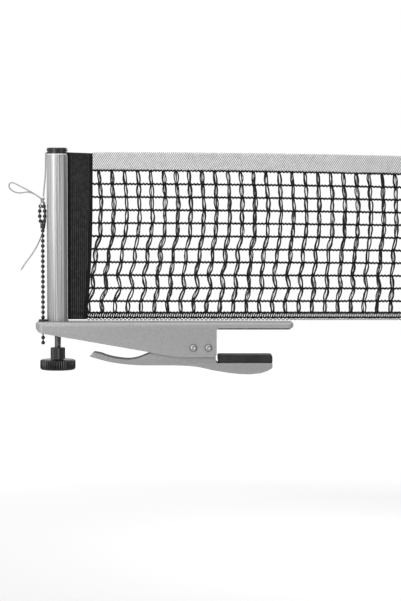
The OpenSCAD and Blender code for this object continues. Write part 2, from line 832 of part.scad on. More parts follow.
// Extruded post with a round-cornered mouth at the top of its slot
module post_tube() {
    m = post_slot / 2 + MOUTH_R;
    color(ALUMINIUM) translate([post_x, 0, 0]) difference() {
        translate([0, 0, post_foot_z]) linear_extrude(post_top - post_foot_z) post_section();
        difference() {
            translate([0, -m, post_top - MOUTH_R]) cube([post_r + 1, 2 * m, MOUTH_R + 1]);
            for (side = [-1, 1])
                translate([-1, side * m, post_top - MOUTH_R]) rotate([0, 90, 0])
                    cylinder(r = MOUTH_R, h = post_r + 3);
        }
    }
}

// Cap: lower rim, groove and rounded upper rim over a hollow plug, with a hole for the net cord
module post_cap() {
    r = post_r - CAP_INSET;
    rim = (cap_h - CAP_GROOVE) * RIM_SHARE;
    plug_r = bore_r - SLIDE;
    lip_y = post_slot / 2 + post_wall + SLIDE;
    top_h = cap_h - rim - CAP_GROOVE;
    color(BLACK) translate([post_x, 0, post_top]) difference() {
        union() {
            cylinder(r = r, h = rim);
            cylinder(r = r - STEP_IN, h = cap_h - CAP_EDGE);
            translate([0, 0, rim + CAP_GROOVE]) rotate_extrude() polygon(concat(
                [[0, 0], [r, 0]],
                [for (i = [0:CORNER]) let (a = 90 * i / CORNER)
                    [r - CAP_EDGE * (1 - cos(a)), top_h - CAP_EDGE * (1 - sin(a))]],
                [[0, top_h]]
            ));
            translate([0, 0, -PLUG_H]) difference() {
                cylinder(r = plug_r, h = PLUG_H + EPS);
                translate([0, -lip_y, -1]) cube([FAR, 2 * lip_y, PLUG_H + 1]);
            }
        }
        translate([0, 0, -PLUG_H - 1]) cylinder(r = plug_r - PLUG_T, h = PLUG_H + 1 + 2 * cord_z);
        translate([0, 0, cord_z]) rotate([0, -90, 0]) cylinder(r = cord_z + CORD_PLAY, h = FAR);
    }
}

// Plug in the foot of the post: a bearing for the screw's neck and a skirt round the boss
FOOT_Z = 8;
FOOT_T = 6;
NECK_GAP = 0.75;
neck_r = screw_r - NECK_GAP;

module post_foot() {
    color(BLACK) translate([post_x, 0, 0]) difference() {
        translate([0, 0, post_foot_z]) cylinder(r = bore_r, h = FOOT_Z + FOOT_T - post_foot_z);
        translate([0, 0, post_foot_z - 1]) cylinder(r = boss_r + SLIDE, h = FOOT_Z - post_foot_z + 1);
        cylinder(r = neck_r + RUN, h = FAR);
        translate([bore_r - LIP - SLIDE, -FAR / 2, -FAR / 2]) cube(FAR);
    }
}

// ---- Height screw and knob ----

CLIP_T = 0.8;
CLIP_WALL = 2.4;
GROOVE_IN = 0.4;
NECK_TOP = 1.6;
KNOB_EDGE = 1.3;
KNOB_FLOOR = 2;
RECESS = 1.4;
FLUTE_R = 1.05;
FLUTE_OUT = 0.37;
KNOB_STEPS = 4;
GRIP_SHARE = 0.62;

neck_top = FOOT_Z + FOOT_T + NECK_TOP;
knob_top = -hub_drop - hub_h;
knob_low = knob_top - knob_h;
clip_z = FOOT_Z + FOOT_T + SLIDE;

module height_screw() {
    color(BRIGHT) translate([post_x, 0, 0]) difference() {
        union() {
            translate([0, 0, knob_low + KNOB_FLOOR])
                cylinder(r = screw_r, h = FOOT_Z - SLIDE / 2 - knob_low - KNOB_FLOOR);
            cylinder(r = neck_r, h = neck_top);
        }
        translate([0, 0, clip_z]) difference() {
            cylinder(r = screw_r, h = CLIP_T);
            cylinder(r = neck_r - GROOVE_IN, h = CLIP_T);
        }
    }
}

// Retaining clip, open on one side
module screw_clip() {
    r = neck_r - GROOVE_IN;
    color(BRIGHT) translate([post_x, 0, clip_z]) difference() {
        cylinder(r = neck_r + CLIP_WALL, h = CLIP_T);
        translate([0, 0, -1]) cylinder(r = r, h = CLIP_T + 2);
        translate([0, -r * 0.8, -1]) cube([FAR, r * 1.6, CLIP_T + 2]);
    }
}

module screw_knob() {
    r = knob_d / 2;
    color(BLACK) translate([post_x, 0, 0]) difference() {
        union() {
            translate([0, 0, knob_top - EPS]) cylinder(r = hub_d / 2, h = hub_h + EPS);
            rotate_extrude() polygon(concat(
                [[0, knob_low]],
                [for (i = [0:KNOB_STEPS]) let (a = -90 + 90 * i / KNOB_STEPS)
                    [r - KNOB_EDGE * (1 - cos(a)), knob_low + KNOB_EDGE * (1 + sin(a))]],
                [for (i = [0:KNOB_STEPS]) let (a = 90 * i / KNOB_STEPS)
                    [r - KNOB_EDGE * (1 - cos(a)), knob_top - KNOB_EDGE * (1 - sin(a))]],
                [[0, knob_top]]
            ));
        }
        translate([0, 0, knob_low + KNOB_FLOOR]) cylinder(r = screw_r, h = FAR);
        translate([0, 0, knob_low - 1]) cylinder(r = r * GRIP_SHARE, h = RECESS + 1);
        for (i = [0:flutes - 1])
            rotate(360 * i / flutes) translate([r + FLUTE_OUT, 0, knob_low - 1])
                cylinder(r = FLUTE_R, h = knob_h + 2);
    }
}

// ---- Net ----

STEPS = 12;
DRIFT_NEAR = 6.1;
DRIFT_FAR = 2.3;
SLEEVE_CURL = 5.6;
SLEEVE_RISE = 0.9;
POCKET_WALL = 1.1;
FAR_SLEEVE_W = 20;

sleeve_x0 = post_x + post_r + 0.1;
net_x0 = post_x + post_r + sleeve_w;
first_thread = net_x0 + 4.3;
net_x1 = first_thread + (threads + 0.5) * mesh_pitch;
net_len = net_x1 - net_x0;
tape_low = net_top - tape_h;
hem_top = net_foot + hem_h;

// Sag of the top edge and of the hem, as a share of the span
function span_share(x) = max(0, (x - net_x0) / net_len);
function top_z(x) = net_top - net_sag * pow(span_share(x), 2);
function tape_z(x) = top_z(x) - tape_h;
function hem_z(x) = hem_top;

// The near sleeve's edge curls in towards the bottom
function sleeve_edge(z) =
    net_x0 - SLEEVE_CURL * pow(max(0, (net_top - z) / (net_top - net_foot)), 3);

// Sideways drift of the upright threads, down the net: t is 0 at the tape and 1 at the hem
function drift(t) = 0.55 * t * (1 - t) - pow(t, 2.4);

// Where upright line j crosses row line i
function cross_x(i, j) =
    let (
        t = i / rows,
        x = first_thread + j * mesh_pitch,
        size = DRIFT_NEAR + (DRIFT_FAR - DRIFT_NEAR) * span_share(x)
    )
    x + size * drift(t);
function cross_z(i, x) = tape_z(x) + (hem_z(x) - tape_z(x)) * i / rows;

// Opening between two upright lines and two row lines; the first and last meet the sleeves
function hole(i, j) =
    let (
        half = thread_w / 2,
        left = function(k) j == 0 ? sleeve_edge(cross_z(k, net_x0)) - 1 : cross_x(k, j - 1) + half,
        right = function(k) j == threads ? net_x1 + 1 : cross_x(k, j) - half
    )
    [
        [left(i), cross_z(i, left(i)) - half],
        [right(i), cross_z(i, right(i)) - half],
        [right(i + 1), cross_z(i + 1, right(i + 1)) + half],
        [left(i + 1), cross_z(i + 1, left(i + 1)) + half]
    ];

function shares(n) = [for (i = [0:n]) i / n];

// Flat net: the field between sleeves, tape and hem, less its openings
module net_mesh() {
    xs = [for (s = shares(STEPS)) net_x0 + s * net_len];
    zs = [for (s = shares(STEPS)) hem_top + s * (tape_low - hem_top)];
    color(BLACK) difference() {
        across(thread_t) polygon(concat(
            [for (x = xs) [x, tape_z(x)]],
            [[net_x1, hem_top]],
            [for (z = zs) if (z < tape_low - 1) [sleeve_edge(z), z]]
        ));
        for (i = [0:rows - 1], j = [0:threads])
            across(thread_t + 1) polygon(hole(i, j));
    }
}

// Strip between two edges that are functions of x
module strip(t, x0, x1, low, high) {
    xs = [for (s = shares(STEPS)) x0 + s * (x1 - x0)];
    across(t) polygon(concat(
        [for (x = xs) [x, low(x)]],
        [for (i = [STEPS:-1:0]) [xs[i], high(xs[i])]]
    ));
}

module net_tape() {
    color(WHITE) strip(thread_t + 0.8, net_x0, net_x1,
        function(x) tape_z(x), function(x) top_z(x));
}

module net_hem() {
    color(BLACK) strip(thread_t + 0.6, sleeve_edge(hem_top), net_x1,
        function(x) net_foot, function(x) hem_top);
}

// Sleeve round the rod, through the slot and out to the net
module net_sleeve() {
    pocket_r = rod_d / 2 + POCKET_WALL;
    low = neck_top + 1.5;
    high = post_top - 0.5;
    edge = [for (s = shares(STEPS)) let (z = net_foot + s * (net_top - net_foot)) [sleeve_edge(z), z]];
    color(BLACK) difference() {
        union() {
            translate([post_x, 0, low]) cylinder(r = pocket_r, h = high - low);
            translate([post_x, -sleeve_t / 2, low]) cube([sleeve_x0 - post_x + EPS, sleeve_t, high - low]);
            across(sleeve_t) polygon(concat(
                [[sleeve_x0, net_top + SLEEVE_RISE], [sleeve_x0, net_foot]],
                edge
            ));
        }
        translate([post_x, 0, 0]) cylinder(r = rod_d / 2, h = FAR);
    }
}

module net_rod() {
    color(WHITE) translate([post_x, 0, neck_top + 1.5])
        cylinder(d = rod_d, h = post_top - neck_top - 3);
}

far_rod_x = net_x1 + FAR_SLEEVE_W;

// Matching sleeve at the net's other end, with its own rod
module far_sleeve() {
    pocket_r = rod_d / 2 + POCKET_WALL;
    high = top_z(net_x1);
    color(BLACK) difference() {
        union() {
            translate([net_x1, -sleeve_t / 2, net_foot])
                cube([FAR_SLEEVE_W, sleeve_t, high - net_foot]);
            translate([far_rod_x, 0, net_foot]) cylinder(r = pocket_r, h = high - net_foot);
        }
        translate([far_rod_x, 0, 0]) cylinder(d = rod_d, h = FAR);
    }
}

module far_rod() {
    color(WHITE) translate([far_rod_x, 0, net_foot])
        cylinder(d = rod_d, h = top_z(net_x1) - net_foot);
}

clamp_body();
jaw_pad_upper();
pivot_rivet();
stop_rivet();
pivot_bush();
pivot_washers();
torsion_spring();
screw_bridge();
post_guide();
chain_lock();
ball_chain();
chain_coupling();
cord_knot();
tension_cord();
cord_loop();
cord_tail();
post_tube();
post_cap();
post_foot();
net_rod();
net_sleeve();
net_mesh();
net_tape();
net_hem();
far_sleeve();
far_rod();
height_screw();
screw_knob();
screw_clip();
lever_arm();
jaw_pad_lower();
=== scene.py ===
"""Finished look of a table tennis net clamp: pressed body and lever, slotted post, height screw,
ball chain and cord, and the end of the net with its sleeves and tape."""

import json
import random
from math import asin, cos, pi, radians, sin, tan, tau

import bmesh
import bpy
from mathutils import Matrix, Vector


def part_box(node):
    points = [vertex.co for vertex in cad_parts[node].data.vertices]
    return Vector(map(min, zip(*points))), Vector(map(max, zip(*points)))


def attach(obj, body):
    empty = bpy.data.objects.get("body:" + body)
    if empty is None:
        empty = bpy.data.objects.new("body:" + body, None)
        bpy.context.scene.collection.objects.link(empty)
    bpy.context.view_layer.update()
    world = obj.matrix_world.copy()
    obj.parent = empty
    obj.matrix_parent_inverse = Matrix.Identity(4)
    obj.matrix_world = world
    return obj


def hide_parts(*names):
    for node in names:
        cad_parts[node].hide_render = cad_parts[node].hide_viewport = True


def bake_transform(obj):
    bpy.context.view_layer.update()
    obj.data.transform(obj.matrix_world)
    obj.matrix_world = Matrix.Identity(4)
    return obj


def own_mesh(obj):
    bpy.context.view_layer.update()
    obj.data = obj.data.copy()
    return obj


MM = 0.001


def spot(x, y, z):
    return Vector((x, y, z))


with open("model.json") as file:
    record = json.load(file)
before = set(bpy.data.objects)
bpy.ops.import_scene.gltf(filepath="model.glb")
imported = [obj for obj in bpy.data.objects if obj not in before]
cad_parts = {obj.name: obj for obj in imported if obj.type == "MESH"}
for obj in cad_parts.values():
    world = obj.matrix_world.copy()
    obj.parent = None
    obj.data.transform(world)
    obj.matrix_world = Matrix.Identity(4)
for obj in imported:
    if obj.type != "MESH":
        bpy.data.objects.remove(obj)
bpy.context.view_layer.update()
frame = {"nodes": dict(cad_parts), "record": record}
record = frame["record"]


# ---- Places and sizes from the frame, in millimetres ----

BODY_OF = {node: body for body, nodes in record["behaviour"]["bodies"].items() for node in nodes}
JOINTS = {joint["name"]: joint for joint in record["behaviour"]["joints"]}


def limits(node):
    """A node's lowest and highest corners in millimetres."""
    low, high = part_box(node)
    return Vector(low) / MM, Vector(high) / MM


PIVOT = Vector(JOINTS["lever_hinge"]["pos_m"]) / MM
POST_X = JOINTS["adjuster_turn"]["pos_m"][0] / MM
POST_LOW, POST_HIGH = limits("post_tube")
POST_LEFT, POST_TOP = POST_LOW.x, POST_HIGH.z
POST_R = (POST_HIGH.x - POST_LOW.x) / 2


# ---- Camera ----

AIM = spot(-14, 0, 24.4)
CAMERA_BACK = 2000
CAMERA_TILT = radians(3.2)
FOCAL_LENGTH, SENSOR_WIDTH, NEAREST_SEEN = 138.87, 36, 0.05


def new_object(name, data):
    made = bpy.data.objects.new(name, data)
    bpy.context.collection.objects.link(made)
    return made


def make_camera():
    lens = bpy.data.cameras.new("camera")
    lens.lens, lens.sensor_width, lens.clip_start = FOCAL_LENGTH, SENSOR_WIDTH, NEAREST_SEEN
    camera = new_object("camera", lens)
    rise = CAMERA_BACK * tan(CAMERA_TILT)
    camera.location = (AIM + spot(0, -CAMERA_BACK, rise)) * MM
    camera.rotation_euler = (pi / 2 - CAMERA_TILT, 0, 0)
    bpy.context.scene.camera = camera


make_camera()


# ---- Paths ----


def smooth(rows, steps):
    """A smooth curve through rows of numbers, with steps points for each gap."""
    rows = [Vector(row) for row in rows]
    last = len(rows) - 1
    points = []
    for i in range(last):
        a, b, c, d = rows[max(i - 1, 0)], rows[i], rows[i + 1], rows[min(i + 2, last)]
        for t in (k / steps for k in range(steps)):
            square = (2 * a - 5 * b + 4 * c - d) * t * t
            cube = (3 * b - a - 3 * c + d) * t * t * t
            points.append(0.5 * (2 * b + (c - a) * t + square + cube))
    return points + [rows[last]]


def path_length(points):
    return sum((b - a).length for a, b in zip(points, points[1:]))


def spaced(points, step):
    """Points at equal distances of about step along a path."""
    total = path_length(points)
    count = max(round(total / step), 1)
    result, walked, i = [], 0.0, 0
    for k in range(count + 1):
        target = total * k / count
        while i < len(points) - 2 and walked + (points[i + 1] - points[i]).length < target:
            walked += (points[i + 1] - points[i]).length
            i += 1
        gap = (points[i + 1] - points[i]).length
        result.append(points[i].lerp(points[i + 1], (target - walked) / gap))
    return result


def winding(turns, count, place):
    """Points that place gives for angles from 0 to a number of whole turns."""
    return [place(tau * turns * share) for share in shares(count)]


def held(value):
    return min(max(value, 0), 1)


def shares(count):
    """Equal steps from 0 to 1."""
    return [i / count for i in range(count + 1)]


# ---- Node trees ----

FLOAT, VECTOR, GEOMETRY = "NodeSocketFloat", "NodeSocketVector", "NodeSocketGeometry"


def add_node(tree, kind, feeds=None, **settings):
    """Adds a node, sets its properties, and feeds its inputs with values or sockets."""
    node = tree.nodes.new(tree.bl_idname.removesuffix("Tree") + kind)
    for key, value in settings.items():
        setattr(node, key, value)
    for key, value in (feeds or {}).items():
        if isinstance(value, bpy.types.NodeSocket):
            tree.links.new(value, node.inputs[key])
        else:
            node.inputs[key].default_value = value
    return node


def output_of(tree, kind, feeds=None, output=0, **settings):
    return add_node(tree, kind, feeds, **settings).outputs[output]


def math_node(tree, operation, a, b=0.0, c=0.0):
    return output_of(tree, "Math", {0: a, 1: b, 2: c}, operation=operation)


def new_group(name, kind, socket, inputs, build):
    """A node group: build makes its nodes and returns its outputs, all of one socket type."""
    tree = bpy.data.node_groups.new(name, kind)
    for label, input_socket, default in inputs:
        made = tree.interface.new_socket(label, in_out="INPUT", socket_type=input_socket)
        if default is not None:
            made.default_value = default
    outputs = build(tree, tree.nodes.new("NodeGroupInput").outputs)
    for label in outputs:
        tree.interface.new_socket(label, in_out="OUTPUT", socket_type=socket)
    result = tree.nodes.new("NodeGroupOutput")
    for label, socket_out in outputs.items():
        tree.links.new(socket_out, result.inputs[label])
    return tree


def solid_in(tree, geometry, material):
    """The end of a geometry tree: real faces in one material."""
    whole = output_of(tree, "RealizeInstances", {"Geometry": geometry})
    feeds = {"Geometry": whole, "Material": material}
    return {"Geometry": output_of(tree, "SetMaterial", feeds)}


def strand_nodes(tree, given):
    """Round strands along edges, as thick at each point as its thickness says."""
    line = output_of(tree, "MeshToCurve", {"Mesh": given["Geometry"]})
    thickness = output_of(tree, "InputNamedAttribute", {"Name": "thickness"}, data_type="FLOAT")
    ring = output_of(
        tree,
        "CurvePrimitiveCircle",
        {"Resolution": given["Sides"], "Radius": 1.0},
        mode="RADIUS",
    )
    feeds = {"Curve": line, "Profile Curve": ring, "Scale": thickness, "Fill Caps": True}
    return solid_in(tree, output_of(tree, "CurveToMesh", feeds), given["Material"])


def row_nodes(tree, given):
    """Copies of one small shape, one at each point of a line and turned along it."""
    line = output_of(tree, "MeshToCurve", {"Mesh": given["Geometry"]})
    places = add_node(tree, "CurveToPoints", {"Curve": line}, mode="EVALUATED").outputs
    shape = output_of(tree, "ObjectInfo", {"Object": given["Shape"]}, output="Geometry")
    feeds = {"Points": places["Points"], "Instance": shape, "Rotation": places["Rotation"]}
    copies = output_of(tree, "InstanceOnPoints", feeds)
    return solid_in(tree, copies, given["Material"])


def geometry_group(name, build, label, socket, default=None):
    inputs = [
        ("Geometry", GEOMETRY, None),
        (label, socket, default),
        ("Material", "NodeSocketMaterial", None),
    ]
    return new_group(name, "GeometryNodeTree", GEOMETRY, inputs, build)


STRANDS = geometry_group("round strands", strand_nodes, "Sides", "NodeSocketInt", 6)
ROW = geometry_group("row of copies", row_nodes, "Shape", "NodeSocketObject")


# ---- Making pieces ----


def shade(mesh, angle):
    """Smooth shading that keeps edges sharper than angle."""
    mesh.shade_smooth()
    mesh.set_sharp_from_angle(angle=radians(angle))


def mesh_piece(name, points, faces, material, angle):
    """A piece from points in millimetres."""
    mesh = bpy.data.meshes.new(name)
    mesh.from_pydata([Vector(p) * MM for p in points], [], faces)
    mesh.materials.append(material)
    shade(mesh, angle)
    return new_object(name, mesh)


def apply_modifier(piece, angle):
    """Puts what a piece's modifier makes of its mesh in the mesh's place."""
    carrier = piece.data
    graph = bpy.context.evaluated_depsgraph_get()
    piece.data = bpy.data.meshes.new_from_object(piece.evaluated_get(graph))
    piece.modifiers.clear()
    bpy.data.meshes.remove(carrier)
    piece.data.name = piece.name
    shade(piece.data, angle)


def run_nodes(name, carrier, tree, values, angle):
    """A piece that a geometry tree makes from a carrier mesh."""
    piece = new_object(name, carrier)
    modifier = piece.modifiers.new("shape", "NODES")
    modifier.node_group = tree
    for item in tree.interface.items_tree:
        if item.item_type == "SOCKET" and item.in_out == "INPUT" and item.name in values:
            modifier[item.identifier] = values[item.name]
    apply_modifier(piece, angle)
    return piece


def line_mesh(name, paths, radii=None):
    """Edges along paths in millimetres, with a thickness at each point."""
    points, edges, thickness = [], [], []
    for i, path in enumerate(paths):
        start = len(points)
        points += [Vector(p) * MM for p in path]
        edges += [(k, k + 1) for k in range(start, len(points) - 1)]
        if radii:
            thickness += [radii[i] * MM] * len(path)
    mesh = bpy.data.meshes.new(name)
    mesh.from_pydata(points, edges, [])
    if radii:
        values = mesh.attributes.new("thickness", "FLOAT", "POINT")
        values.data.foreach_set("value", thickness)
    return mesh


def strands(name, paths, radius, sides, material, angle=80):
    """Round strands along paths, of one radius or of one for each path."""
    radii = radius if isinstance(radius, list) else [radius] * len(paths)
    carrier = line_mesh(name + " line", paths, radii)
    return run_nodes(name, carrier, STRANDS, {"Sides": sides, "Material": material}, angle)


def row_of(name, paths, shape, material, angle):
    """Copies of a small shape at the points of paths; the shape itself is used up."""
    carrier = line_mesh(name + " line", paths)
    piece = run_nodes(name, carrier, ROW, {"Shape": shape, "Material": material}, angle)
    bpy.data.objects.remove(shape)
    return piece


def join(name, pieces, angle, node):
    """One object from several, in place of a node."""
    joined = bmesh.new()
    materials = []
    for piece in pieces:
        slots = []
        for material in piece.data.materials:
            if material not in materials:
                materials.append(material)
            slots.append(materials.index(material))
        first = len(joined.faces)
        joined.from_mesh(piece.data)
        joined.faces.ensure_lookup_table()
        for face in joined.faces[first:]:
            face.material_index = slots[face.material_index]
        bpy.data.objects.remove(piece)
    mesh = bpy.data.meshes.new(name)
    joined.to_mesh(mesh)
    joined.free()
    for material in materials:
        mesh.materials.append(material)
    shade(mesh, angle)
    whole = new_object(name, mesh)
    carry(whole, node)
    return whole


def tube_faces(rings, sides, first=0):
    """Faces between rings of points that follow each other, numbered from first."""
    faces = []
    for start in range(first, first + (rings - 1) * sides, sides):
        for k in range(sides):
            a, b = start + k, start + (k + 1) % sides
            faces.append([a, b, b + sides, a + sides])
    return faces


def lathe(name, profile, sides, material, angle, axis_x=0):
    """A shape turned about an upright axis, from rows of radius and height. A radius may be
    a function of the angle."""
    points, faces, rows = [], [], []
    for radius, height in profile:
        first = len(points)
        size = 1 if radius == 0 else sides
        for turn in (tau * k / size for k in range(size)):
            r = radius(turn) if callable(radius) else radius
            points.append((axis_x + r * cos(turn), r * sin(turn), height))
        rows.append([first + k % size for k in range(sides)])
    for low, high in zip(rows, rows[1:]):
        for k in range(sides):
            corners = [low[k], low[(k + 1) % sides], high[(k + 1) % sides], high[k]]
            face = [c for i, c in enumerate(corners) if c not in corners[:i]]
            if len(face) > 2:
                faces.append(face)
    return mesh_piece(name, points, faces, material, angle)


SAME_POINT = 1e-6
FLAT_ENOUGH = radians(0.6)
EDGE_ANGLE = radians(28)


def dressed(node, material, edge, segments):
    """A copy of a node with its sharp edges rounded off, in place of the node."""
    shell = bmesh.new()
    shell.from_mesh(frame["nodes"][node].data)
    bmesh.ops.remove_doubles(shell, verts=shell.verts, dist=SAME_POINT)
    bmesh.ops.dissolve_limit(shell, angle_limit=FLAT_ENOUGH, verts=shell.verts, edges=shell.edges)
    mesh = bpy.data.meshes.new(node + ".finished")
    shell.to_mesh(mesh)
    shell.free()
    for leftover in ("custom_normal", "UVMap"):
        if leftover in mesh.attributes:
            mesh.attributes.remove(mesh.attributes[leftover])
    mesh.materials.clear()
    mesh.materials.append(material)
    piece = new_object(node + ".finished", mesh)
    rounding = piece.modifiers.new("rounded edges", "BEVEL")
    rounding.width = edge * MM
    rounding.segments = segments
    rounding.limit_method = "ANGLE"
    rounding.angle_limit = EDGE_ANGLE
    rounding.miter_outer = "MITER_ARC"
    apply_modifier(piece, 40)
    carry(piece, node)


def carry(piece, node):
    """Lets a piece stand for its node and ride on the node's body."""
    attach(piece, BODY_OF[node])
    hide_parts(node)


# ---- Shared effects: each gives masks, shades or heights from 0 to 1 ----


def in_millimetres(tree, given, size=1.0):
    """The place that an effect is given, counted in steps of size millimetres."""
    steps = math_node(tree, "DIVIDE", 1 / MM, size)
    feeds = {0: given["Vector"], "Scale": steps}
    return output_of(tree, "VectorMath", feeds, operation="SCALE")


def noise(tree, place, scale, detail, roughness=0.5):
    feeds = {"Vector": place, "Scale": scale, "Detail": detail, "Roughness": roughness}
    return output_of(tree, "TexNoise", feeds)


def moved(tree, value, from_low, from_high, low=0.0, high=1.0):
    """A value taken from one range to another, and held inside the second."""
    feeds = {
        "Value": value, "From Min": from_low, "From Max": from_high, "To Min": low, "To Max": high,
    }
    return output_of(tree, "MapRange", feeds)


def grain(tree, given):
    """Fine grain, the same in all directions."""
    place = in_millimetres(tree, given, given["Size"])
    return {"Value": noise(tree, place, 1.0, given["Depth"], 0.6)}


def streaks(tree, given):
    """Long thin streaks; Sizes says how far they reach along each axis."""
    feeds = {0: in_millimetres(tree, given), 1: given["Sizes"]}
    stretched = output_of(tree, "VectorMath", feeds, operation="DIVIDE")
    return {"Value": noise(tree, stretched, 1.0, given["Depth"], 0.65)}


def wear(tree, given):
    """Rubbed edges: 1 on a sharp outer edge, broken up by coarse noise, 0 elsewhere."""
    width = math_node(tree, "MULTIPLY", given["Width"], MM)
    rounded = output_of(tree, "Bevel", {"Radius": width}, samples=4)
    straight = output_of(tree, "NewGeometry", output="Normal")
    feeds = {0: rounded, 1: straight}
    same = output_of(tree, "VectorMath", feeds, "Value", operation="DOT_PRODUCT")
    bent = math_node(tree, "MULTIPLY", math_node(tree, "SUBTRACT", 1.0, same), 8.0)
    patchy = moved(tree, noise(tree, in_millimetres(tree, given, 2.5), 1.0, 4.0), 0.4, 0.62)
    mask = math_node(tree, "MULTIPLY", math_node(tree, "MULTIPLY", bent, patchy), given["Amount"])
    return {"Mask": output_of(tree, "Clamp", {"Value": mask})}


def wave(tree, value, size, shift=0.0):
    """A wave from 0 to 1 that repeats each size millimetres of value."""
    turns = math_node(tree, "MULTIPLY", math_node(tree, "DIVIDE", value, size), tau)
    sine = math_node(tree, "SINE", math_node(tree, "ADD", turns, shift))
    return math_node(tree, "MULTIPLY_ADD", sine, 0.5, 0.5)


def rib_weave(tree, given):
    """Upright ribs crossed by fine picks that step half a pick from rib to rib."""
    place = in_millimetres(tree, given)
    axes = add_node(tree, "SeparateXYZ", {"Vector": place}).outputs
    rib = wave(tree, axes["X"], given["Rib"])
    number = math_node(tree, "FLOOR", math_node(tree, "DIVIDE", axes["X"], given["Rib"]))
    step = math_node(tree, "MULTIPLY", number, pi)
    pick = wave(tree, axes["Z"], given["Pick"], step)
    crossed = math_node(tree, "MULTIPLY_ADD", pick, 0.45, 0.55)
    height = math_node(tree, "MULTIPLY", math_node(tree, "POWER", rib, 0.6), crossed)
    lit = math_node(tree, "MULTIPLY", height, 0.6)
    patchy = noise(tree, place, 0.35, 4.0)
    return {"Height": height, "Shade": math_node(tree, "MULTIPLY_ADD", patchy, 0.5, lit)}


def twill(tree, given):
    """Slanting twill lines, stronger in some places than in others."""
    place = in_millimetres(tree, given)
    axes = add_node(tree, "SeparateXYZ", {"Vector": place}).outputs
    across = math_node(tree, "MULTIPLY_ADD", axes["Z"], given["Slope"], axes["X"])
    wander = noise(tree, place, 0.22, 3.0)
    line = wave(tree, math_node(tree, "MULTIPLY_ADD", wander, 0.8, across), given["Pitch"])
    feeds = {"X": across, "Y": axes["Y"], "Z": axes["Z"]}
    fibre = noise(tree, output_of(tree, "CombineXYZ", feeds), 1.7, 5.0, 0.7)
    share = math_node(tree, "MULTIPLY_ADD", moved(tree, wander, 0.35, 0.65), 0.18, 0.58)
    shown = math_node(tree, "MULTIPLY", line, share)
    return {"Height": line, "Shade": math_node(tree, "MULTIPLY_ADD", fibre, 0.3, shown)}


def effect_group(name, build, **sizes):
    """A shader group that takes a place and some sizes, with the sizes it has by default."""
    inputs = [("Vector", VECTOR, None)]
    for label, size in sizes.items():
        inputs.append((label, VECTOR if isinstance(size, tuple) else FLOAT, size))
    return new_group(name, "ShaderNodeTree", FLOAT, inputs, build)


GRAIN = effect_group("fine grain", grain, Size=0.5, Depth=3.0)
STREAKS = effect_group("drawn streaks", streaks, Sizes=(0.3, 0.3, 40), Depth=4.0)
WEAR = effect_group("rubbed edges", wear, Width=0.5, Amount=1.0)
RIBS = effect_group("ribbed weave", rib_weave, Rib=0.8, Pick=0.45)
TWILL = effect_group("twill", twill, Pitch=1.6, Slope=0.6)


# ---- Finishes: tones are greys as they look, 0 to 255 ----


def grey(tone):
    """Linear colour of a grey."""
    share = tone / 255
    level = share / 12.92 if share <= 0.04045 else ((share + 0.055) / 1.055) ** 2.4
    return (level, level, level, 1)


class Finish:
    """One material: its principled shader, and short ways to feed it."""

    def __init__(self, name, roughness, metallic=0.0, **uniform):
        self.material = bpy.data.materials.new(name)
        self.material.use_nodes = True
        self.tree = self.material.node_tree
        self.shader = self.tree.nodes["Principled BSDF"]
        for label, value in {"Roughness": roughness, "Metallic": metallic, **uniform}.items():
            self.shader.inputs[label.replace("_", " ")].default_value = value
        self.place = output_of(self.tree, "TexCoord", output="Object")

    def effect(self, group, output="Value", **values):
        """One output of a shared effect placed in this material."""
        node = add_node(self.tree, "Group", node_tree=group)
        self.tree.links.new(self.place, node.inputs["Vector"])
        for label, value in values.items():
            node.inputs[label].default_value = value
        return node.outputs[output]

    def feed(self, label, value):
        self.tree.links.new(value, self.shader.inputs[label])

    def colour(self, value, *stops):
        """Base colour from a 0 to 1 value through stops of place and tone."""
        ramp = add_node(self.tree, "ValToRGB", {"Fac": value})
        points = ramp.color_ramp.elements
        while len(points) < len(stops):
            points.new(0.5)
        for point, (place, tone) in zip(points, stops):
            point.position, point.color = place, grey(tone)
        self.feed("Base Color", ramp.outputs["Color"])
        return ramp.outputs["Color"]

    def rubbed(self, base, tone, width, amount):
        """Lays a plain tone over the base colour on sharp edges."""
        mask = self.effect(WEAR, "Mask", Width=width, Amount=amount)
        feeds = {"Factor": mask, "A": base, "B": grey(tone)}
        self.feed("Base Color", output_of(self.tree, "Mix", feeds, "Result", data_type="RGBA"))

    def gloss(self, value, low, high):
        """Roughness that runs from low to high with a 0 to 1 value."""
        self.feed("Roughness", moved(self.tree, value, 0.0, 1.0, low, high))

    def relief(self, height, depth, strength):
        """A bump of depth millimetres, on top of any bump already there."""
        feeds = {"Height": height, "Distance": depth * MM, "Strength": strength}
        before = self.shader.inputs["Normal"]
        if before.is_linked:
            feeds["Normal"] = before.links[0].from_socket
        self.feed("Normal", output_of(self.tree, "Bump", feeds))


def satin_paint(name, tone, spread=13):
    """Silver lacquer with a fine metal grain, rubbed a little brighter on its edges."""
    finish = Finish(name, 0.42, 0.25, Coat_Weight=0.12, Coat_Roughness=0.3)
    fine = finish.effect(GRAIN, Size=0.8, Depth=4.0)
    base = finish.colour(fine, (0.3, tone - spread), (0.5, tone), (0.7, tone + spread))
    finish.rubbed(base, 215, 0.6, 0.5)
    finish.gloss(finish.effect(GRAIN, Size=14.0, Depth=3.0), 0.36, 0.5)
    finish.relief(fine, 0.012, 0.5)
    return finish.material


def aluminium_streaks_and_reflections():
    """Extruded post: upright streaks of light and dark, partly real drawing lines and partly
    painted reflection bands.
    """
    finish = Finish("drawn aluminium", 0.4, 0.7, Anisotropic=0.4)
    # Streak tones: real drawing lines, and painted bands of reflected light and shade.
    line = finish.effect(STREAKS, Sizes=(0.9, 0.9, 220), Depth=3.0)
    finish.colour(line, (0.34, 124), (0.45, 176), (0.56, 190), (0.68, 226))
    finish.gloss(finish.effect(STREAKS, Sizes=(2.4, 2.4, 300), Depth=2.0), 0.34, 0.5)
    finish.relief(line, 0.03, 0.6)
    return finish.material


